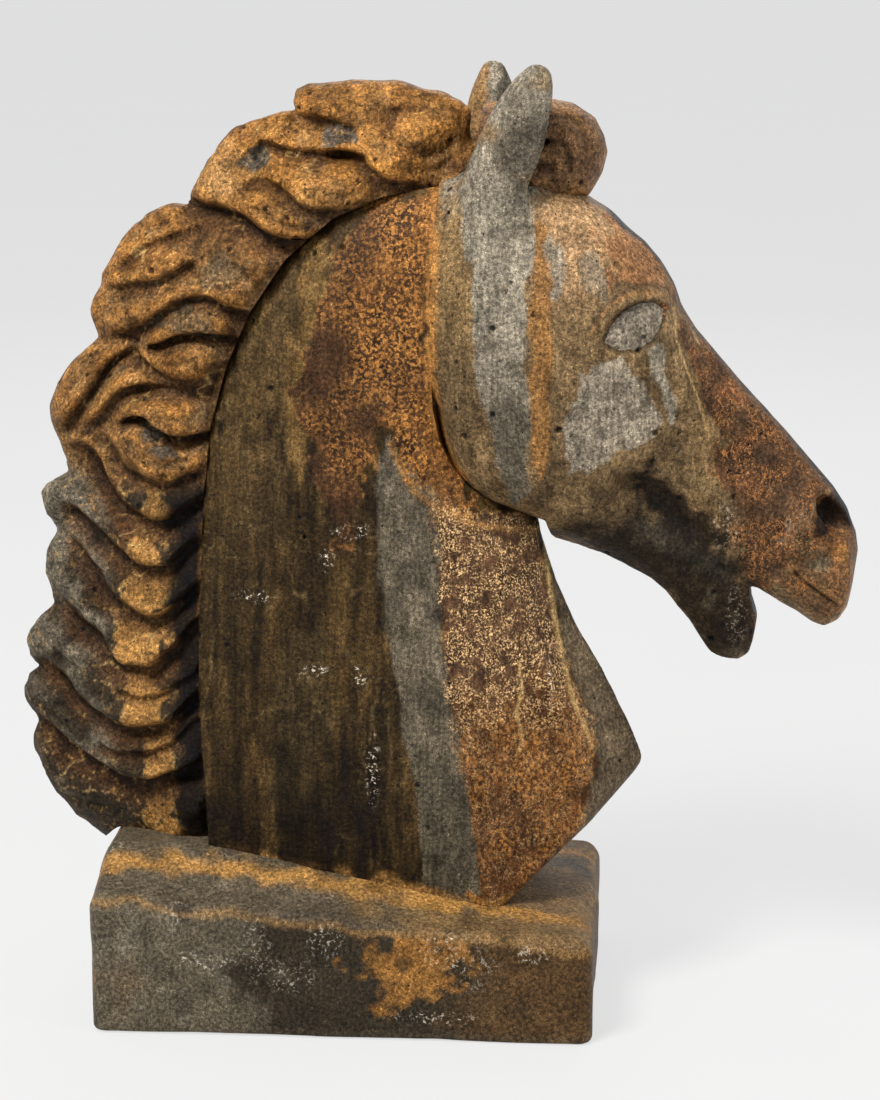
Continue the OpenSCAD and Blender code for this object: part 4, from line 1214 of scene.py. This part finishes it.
def stain_and_shade_mane(points):
    s = StainAndPaintedShade(points, OCHRE)
    hollow = map_at(mane_hollow, points)
    cut = map_at(mane_relief.cut, points)
    top = rise((s.z - 505) / 30)
    fall = 1 - rise((s.z - 335) / 25)
    middle = 1 - top - fall
    patches = s.noise(15, 71) + 0.6 * s.noise(6, 72)
    s.wash(top * 0.8 * rise((-62 - s.x) / 20), (0.42, 0.23, 0.085))
    s.wash(top * 0.75 * rise(patches - 0.1), (0.15, 0.065, 0.02))
    s.wash(top * 0.6 * rise(patches - 0.7), (0.04, 0.02, 0.009))
    s.wash(middle * 0.75, (0.17, 0.085, 0.03))
    s.wash(middle * 0.6 * rise((s.z - 450) / 30) * rise((-100 - s.x) / 20), (0.3, 0.135, 0.036))
    s.wash(middle * 0.5 * rise((430 - s.z) / 30) * rise((-150 - s.x) / 20), (0.12, 0.062, 0.024))
    s.wash(middle * 0.85 * rise(patches - 0.1), (0.06, 0.032, 0.014))
    s.wash(middle * 0.6 * rise((s.x + 96) / 16) * rise((440 - s.z) / 40), (0.05, 0.028, 0.013))
    s.wash(middle * 0.4 * rise(-patches - 0.5), (0.16, 0.12, 0.066))
    s.wash(middle * 0.55 * rise((475 - s.z) / 40) * rise(0.7 + s.noise(13, 217)), (0.19, 0.12, 0.055))
    s.wash(top * 0.35 * rise(s.noise(12, 219)), (0.2, 0.125, 0.055))
    s.wash(fall * 0.97, (0.028, 0.021, 0.012))
    s.wash(
        fall * 0.7 * rise(s.noise(16, 74) + (s.z - 200) / 90) * rise((-150 - s.x) / 14),
        (0.17, 0.143, 0.1),
    )
    s.wash(fall * 0.9 * s.area(SWAG_RUST, 7, 4, 1, 76), (0.1, 0.045, 0.017))
    s.wash(fall * 0.8 * s.border, STRAW)
    s.wash(fall * 0.95 * s.area(SWAG_ORANGE, 5, 4.5, 1, 78), (0.36, 0.18, 0.05))
    s.wash(fall * 0.7 * s.border, STRAW)
    wing = rise((-150 - s.x) / 16)
    s.wash(0.8 * s.spot((-104, 134), (14, 15)), (0.06, 0.047, 0.029))
    # painted shade in the mane's creases, darker where they cut deeper
    s.wash(0.75 * rise(cut / 6 - 0.2), (0.09, 0.04, 0.014))
    s.wash(0.9 * rise(cut / 9 - 0.5), (0.022, 0.011, 0.006))
    # painted highlight on the ridges: orange above the fall, pale grey on the tops of the wings
    s.wash(0.45 * rise(-hollow / 2.5) * (1 - fall), ORANGE)
    s.wash(0.35 * rise(-hollow / 2.5) * wing * fall, (0.2, 0.17, 0.12))
    s.paint(s.area, [
        (0.85, ([(-16, 567), (-6, 572), (6, 568), (9, 559), (-16, 557)], 4, 2, 1, 75), (0.09, 0.082, 0.068)),
        (
            0.85, ([(-70, 546), (-62, 556), (-52, 556), (-50, 547), (-58, 538)], 4, 2, 1, 77),
            (0.11, 0.1, 0.08),
        ),
        (
            0.9, ([(-135, 378), (-126, 386), (-114, 372), (-106, 362), (-120, 360)], 5, 3, 1, 79),
            (0.065, 0.054, 0.04),
        ),
        (
            0.75, ([(-124, 446), (-104, 456), (-86, 452), (-80, 441), (-104, 442)], 5, 3, 1, 81),
            (0.1, 0.072, 0.042),
        ),
        (0.55, ([(-100, 478), (-84, 494), (-62, 486), (-66, 470)], 8, 4, 1, 83), (0.16, 0.115, 0.06)),
    ])
    s.wash(0.7 * s.cracks(7, 0.2, 201) * (1 - 0.4 * fall), (0.04, 0.019, 0.008))
    s.wash(0.6 * s.cracks(5, 0.16, 203) * (1 - 0.4 * fall), (0.06, 0.03, 0.012))
    s.wash(0.6 * s.cracks(6, 0.12, 205), (0.5, 0.27, 0.08))
    s.wash(0.75 * s.cracks(11, 0.07, 85) * rise(cut / 3), STRAW)
    s.wash(fall * 0.93 * rise((s.x + 119 + 5 * s.noise(9, 89)) / 8), (0.006, 0.004, 0.002))
    s.wash(0.75 * s.line(NECK_LINE[1:], 13) * rise(0.4 + s.noise(11, 95)) * (1 - fall), (0.04, 0.02, 0.009))
    s.wash(0.6 * s.line(NECK_LINE[1:], 3) * rise(0.3 + s.noise(14, 90)), (0.16, 0.075, 0.02))
    s.wash(0.7 * rise((114 - s.z) / 12) * rise(1.4 - np.abs(s.x + 125) / 26), ORANGE)
    # painted shade in the mane's hollows
    s.shade(-0.06 * np.clip(hollow, 0, 5))
    s.shade(0.28 * s.noise(9, 87) + 0.17 * s.noise(3.5, 88))
    return s


def stain_and_shade_forelock(points):
    s = StainAndPaintedShade(points, (0.15, 0.08, 0.038))
    s.wash(0.6 * rise(s.noise(9, 91) - 0.1), (0.28, 0.15, 0.06))
    rim_share = rise(1 - map_at(lock_depth, points) / 9)
    s.wash(0.7 * rim_share * rise(s.noise(14, 92) + 0.6), (0.3, 0.145, 0.042))
    s.wash(0.7 * s.cracks(6, 0.2, 207), (0.04, 0.02, 0.009))
    # painted shade in the forelock's creases
    s.wash(0.85 * rise(map_at(forelock_relief.cut, points) / 4 - 0.3), (0.02, 0.011, 0.006))
    s.shade(0.2 * s.noise(7, 93) + 0.07 * s.noise(3, 94))
    return s


def stain_plinth(points):
    s = StainAndPaintedShade(points, (0.036, 0.027, 0.016))
    blotches = s.noise(26, 101) + 0.5 * s.noise(9, 102)
    s.wash(0.75 * rise((-30 - s.x + 24 * blotches) / 60), (0.14, 0.114, 0.075))
    s.wash(0.6 * rise((-60 - s.x + 30 * s.noise(14, 103)) / 50) * rise(s.noise(8, 104)), (0.15, 0.128, 0.09))
    s.wash(0.85 * rise((s.x - 60 + 18 * blotches) / 60), (0.105, 0.056, 0.021))
    on_front = rise((-s.y - 90) / 10)
    s.wash(0.85 * on_front * s.area(PLINTH_PATCH, 26, 9, 1, 105), (0.34, 0.155, 0.036))
    s.wash(0.5 * rise(s.noise(22, 107) - 0.7), (0.17, 0.085, 0.03))
    below_top = plinth_top(s.x, s.y) - s.z
    on_top = rise((9 - below_top) / 6)
    s.wash(0.9 * on_top, (0.1, 0.078, 0.05))
    s.wash(0.65 * on_top * rise(s.noise(20, 108) + (s.x + 20) / 60), (0.2, 0.115, 0.042))
    s.wash(0.8 * on_top * rise((s.y + 30) / 60) * rise(s.noise(24, 109) + 0.6), (0.09, 0.075, 0.052))
    foot_gap = np.abs(s.y) - 66
    s.wash(0.8 * on_top * rise(1.1 - np.abs(foot_gap + 5 * s.noise(12, 110)) / 12), (0.4, 0.2, 0.05))
    s.wash(0.6 * rise(1 - np.abs(below_top - 5 + 2 * s.noise(16, 111)) / 4), (0.26, 0.145, 0.05))
    s.wash(0.35 * rise((9 - s.z) / 6), (0.1, 0.074, 0.045))
    for centre, radii in PLINTH_SCUFFS:
        s.fleck(SCUFF_FLECK, 0.55 * s.spot(centre, radii) * rise(np.abs(s.y) - 98))
    s.fleck(SCUFF_FLECK, 0.4 * rise(s.noise(24, 112) - 0.9))
    s.shade(0.2 * s.noise(12, 113) + 0.07 * s.noise(4, 114))
    return s


STAINS_AND_PAINTED_SHADE = {
    "neck_casting": stain_and_shade_neck, "head_casting": stain_and_shade_head, "eye_right_disc": stain_eye,
    "eye_left_disc": stain_eye, "ear_right_casting": stain_ear, "ear_left_casting": stain_ear,
    "mane_crest_casting": stain_and_shade_mane, "mane_middle_casting": stain_and_shade_mane,
    "mane_fall_casting": stain_and_shade_mane, "forelock_casting": stain_and_shade_forelock,
    "plinth_casting": stain_plinth,
}


# ---- materials ----

class Shader:
    """A node material with short ways to add what the castings need."""

    def __init__(self, name):
        self.material = bpy.data.materials.new(name)
        self.material.use_nodes = True
        self.nodes = self.material.node_tree.nodes
        self.links = self.material.node_tree.links
        self.principled = self.nodes["Principled BSDF"]
        self.place = self.node("ShaderNodeTexCoord").outputs["Object"]

    def node(self, kind, inputs=None, **settings):
        made = self.nodes.new(kind)
        for key, value in settings.items():
            setattr(made, key, value)
        for key, value in (inputs or {}).items():
            if isinstance(value, bpy.types.NodeSocket):
                self.links.new(value, made.inputs[key])
            else:
                made.inputs[key].default_value = value
        return made

    def noise(self, scale, detail=3.0, distortion=0.0, place=None):
        inputs = {"Vector": place or self.place, "Scale": scale, "Detail": detail, "Distortion": distortion}
        return self.node("ShaderNodeTexNoise", inputs).outputs["Fac"]

    def cells(self, scale, randomness=1.0):
        inputs = {"Vector": self.place, "Scale": scale, "Randomness": randomness}
        return self.node("ShaderNodeTexVoronoi", inputs).outputs["Distance"]

    def band(self, value, low, high, to_low=0.0, to_high=1.0):
        inputs = {"Value": value, "From Min": low, "From Max": high, "To Min": to_low, "To Max": to_high}
        return self.node("ShaderNodeMapRange", inputs, interpolation_type="SMOOTHSTEP").outputs["Result"]

    def sum(self, a, b, operation="ADD"):
        return self.node("ShaderNodeMath", {0: a, 1: b}, operation=operation).outputs[0]

    def mix(self, share, a, b, blend="MIX"):
        made = self.node("ShaderNodeMix", data_type="RGBA", blend_type=blend)
        for socket, value in ((0, share), (6, a), (7, b)):
            if isinstance(value, bpy.types.NodeSocket):
                self.links.new(value, made.inputs[socket])
            elif socket:
                made.inputs[socket].default_value = (*value, 1)
            else:
                made.inputs[socket].default_value = value
        return made.outputs[2]

    def bump(self, height, distance, strength=1.0):
        inputs = {"Height": height, "Distance": distance, "Strength": strength}
        return self.node("ShaderNodeBump", inputs).outputs["Normal"]


def concrete(name, grain, gloss, drip, lines):
    """Cast concrete under a worn stain, whose tint also holds painted shade and highlights.

    The grain scales the relief of its face, drip how far streaks run and lines how dark its wrinkles are.
    """
    m = Shader(name)
    colour = m.node("ShaderNodeAttribute", attribute_name="tint").outputs["Color"]
    flecks = m.node("ShaderNodeAttribute", attribute_name="flecks")
    parts = m.node("ShaderNodeSeparateColor", {"Color": flecks.outputs["Color"]}).outputs
    blotch = m.noise(430, 8, 0.4)
    colour = m.mix(
        m.sum(parts[LEOPARD_FLECK], m.band(blotch, 0.45, 0.56), "MULTIPLY"), colour,
        (0.36, 0.155, 0.038),
    )
    dots = m.sum(m.band(m.noise(760, 3, 0.5), 0.5, 0.58), m.band(m.noise(110, 3), 0.36, 0.56), "MULTIPLY")
    colour = m.mix(m.sum(parts[DOT_FLECK], dots, "MULTIPLY"), colour, (0.66, 0.42, 0.19))
    lace = m.sum(m.sum(m.noise(240, 3, 1.6), 0.5, "SUBTRACT"), 0, "ABSOLUTE")
    colour = m.mix(
        m.sum(parts[RING_FLECK], m.band(lace, 0.045, 0.02), "MULTIPLY"), colour, (0.3, 0.125, 0.04),
    )
    scuffs = m.band(m.noise(420, 6, 1.0), 0.57, 0.62)
    colour = m.mix(m.sum(flecks.outputs["Alpha"], scuffs, "MULTIPLY"), colour, (0.55, 0.49, 0.39))
    stretched = m.node("ShaderNodeVectorMath", {0: m.place, 1: (1, 1, drip)}, operation="MULTIPLY").outputs[0]
    fine, coarse, grit = m.noise(1300, 6), m.noise(420, 7), m.noise(1500, 3)
    streak = m.noise(520, 5, 0, stretched)
    wrinkle = m.sum(m.sum(m.noise(130, 5, 1.2), 0.5, "SUBTRACT"), 0, "ABSOLUTE")
    for value, low, high, least, most in (
        (fine, 0.35, 0.65, 0.62, 1.38), (coarse, 0.35, 0.65, 0.6, 1.38), (streak, 0.35, 0.65, 0.8, 1.18),
        (grit, 0.6, 0.72, 1.0, 0.45), (m.noise(780, 4, 0.6), 0.61, 0.7, 1.0, 2.2),
        (wrinkle, 0.0, 0.022, 1.0 - lines, 1.0),
    ):
        level = m.band(value, low, high, least, most)
        colour = m.mix(
            1.0, colour, m.node("ShaderNodeCombineColor", {0: level, 1: level, 2: level}).outputs[0],
            "MULTIPLY",
        )
    holes = m.sum(m.band(m.cells(170), 0.11, 0.07), m.band(m.noise(45, 2), 0.5, 0.54), "MULTIPLY")
    colour = m.mix(holes, colour, (0.014, 0.01, 0.007))
    m.links.new(colour, m.principled.inputs["Base Color"])
    m.links.new(m.band(fine, 0.3, 0.7, gloss - 0.16, gloss + 0.16), m.principled.inputs["Roughness"])
    height = m.sum(m.sum(fine, 0.45, "MULTIPLY"), m.sum(coarse, 0.9, "MULTIPLY"))
    height = m.sum(height, m.sum(holes, 1.6, "MULTIPLY"), "SUBTRACT")
    m.links.new(m.bump(height, 0.0011 * grain), m.principled.inputs["Normal"])
    m.principled.inputs["Specular IOR Level"].default_value = 0.1
    return m.material


def steel(name):
    """Hot-rolled bar with mill scale and a bloom of rust."""
    m = Shader(name)
    rust = m.band(m.noise(60, 6, 0.4), 0.42, 0.6)
    colour = m.mix(rust, (0.09, 0.085, 0.085), (0.2, 0.075, 0.03))
    m.links.new(colour, m.principled.inputs["Base Color"])
    m.links.new(m.band(rust, 0, 1, 0.42, 0.9), m.principled.inputs["Roughness"])
    m.links.new(m.band(rust, 0, 1, 0.9, 0.0), m.principled.inputs["Metallic"])
    m.links.new(m.bump(m.noise(500, 5), 0.0003), m.principled.inputs["Normal"])
    return m.material


BODY = concrete("body_concrete_look", 1.0, 0.42, 0.07, 0.3)
MANE = concrete("mane_concrete_look", 1.5, 0.44, 0.5, 0.6)
PLINTH = concrete("plinth_concrete_look", 1.2, 0.46, 0.8, 0.3)
STEEL = steel("reinforcing_steel_look")
LOOKS = {"mane": MANE, "fore": MANE, "plin": PLINTH}
for name, (obj, points, _) in built.items():
    STAINS_AND_PAINTED_SHADE[name](points).on(obj)
    obj.data.materials.append(LOOKS.get(name[:4], BODY))
replaced = {name.rsplit("_", 1)[0] for name in built}
for name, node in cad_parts.items():
    if name in replaced:
        continue
    if not node.material_slots:
        node.data.materials.append(STEEL)
    for slot in node.material_slots:
        slot.material = STEEL

# ---- camera, light and floor ----

# Places in design millimetres, and the lens and its sensor's width in millimetres
CAMERA_AT, CAMERA_TO = (185.2, -1861.5, 720.0), (55.0, 0.0, 296.0)
LENS, SENSOR_WIDTH = 96.9, 36
camera = bpy.data.objects.new("camera", bpy.data.cameras.new("camera"))
camera.data.lens = LENS
camera.data.sensor_width = SENSOR_WIDTH
camera.location = Vector(ORIGIN) + Vector(CAMERA_AT) * UNIT
aim = Vector(CAMERA_TO) * UNIT + Vector(ORIGIN) - camera.location
camera.rotation_euler = aim.to_track_quat("-Z", "Y").to_euler()
bpy.context.scene.collection.objects.link(camera)
bpy.context.scene.camera = camera


def lamp(name, at, to, size, power, colour=(1, 1, 1)):
    """A square area lamp, its places and size in metres and its power in watts."""
    light = bpy.data.objects.new(name, bpy.data.lights.new(name, "AREA"))
    light.data.size = size
    light.data.energy = power
    light.data.color = colour
    light.location = at
    light.rotation_euler = (Vector(to) - Vector(at)).to_track_quat("-Z", "Y").to_euler()
    bpy.context.scene.collection.objects.link(light)


lamp("key", (-0.8, -1.3, 2.3), (0.05, 0, 0.35), 0.8, 78, (1, 0.985, 0.96))
lamp("fill", (2.1, -1.0, 1.3), (0.05, 0, 0.3), 0.9, 15, (0.97, 0.98, 1))
lamp("back", (0.2, 2.2, 1.8), (0.05, 0, 0.4), 1.4, 16)

# How far the floor reaches from the middle, in metres, and how strongly it glows
FLOOR_REACH, FLOOR_GLOW = 60.0, 0.66
floor_mesh = bpy.data.meshes.new("floor")
corners = [(x * FLOOR_REACH, y * FLOOR_REACH, 0) for x, y in ((-1, -1), (1, -1), (1, 1), (-1, 1))]
floor_mesh.from_pydata(corners, [], [(0, 1, 2, 3)])
floor = bpy.data.objects.new("floor", floor_mesh)
bpy.context.scene.collection.objects.link(floor)
pale = Shader("floor_pale")
pale.principled.inputs["Roughness"].default_value = 1.0
pale.principled.inputs["Specular IOR Level"].default_value = 0.0
pale.principled.inputs["Emission Color"].default_value = (1, 1, 1, 1)
pale.principled.inputs["Emission Strength"].default_value = FLOOR_GLOW
pale.links.new(
    pale.mix(pale.noise(3, 2), (0.15, 0.15, 0.15), (0.17, 0.17, 0.17)),
    pale.principled.inputs["Base Color"],
)
floor_mesh.materials.append(pale.material)

world = bpy.data.worlds.new("studio")
world.use_nodes = True
sky, light_of = world.node_tree, world.node_tree.nodes["Background"]
direction = sky.nodes.new("ShaderNodeTexCoord")
parts = sky.nodes.new("ShaderNodeSeparateXYZ")
ramp = sky.nodes.new("ShaderNodeMapRange")
ramp.interpolation_type = "SMOOTHSTEP"
for key, value in (("From Min", -0.5), ("From Max", 0.6), ("To Min", 0.26), ("To Max", 0.76)):
    ramp.inputs[key].default_value = value
sky.links.new(direction.outputs["Generated"], parts.inputs[0])
sky.links.new(parts.outputs["Y"], ramp.inputs["Value"])
sky.links.new(ramp.outputs["Result"], light_of.inputs["Strength"])
light_of.inputs["Color"].default_value = (0.98, 0.99, 1.0, 1)
bpy.context.scene.world = world
bpy.context.scene.view_settings.view_transform = "Standard"
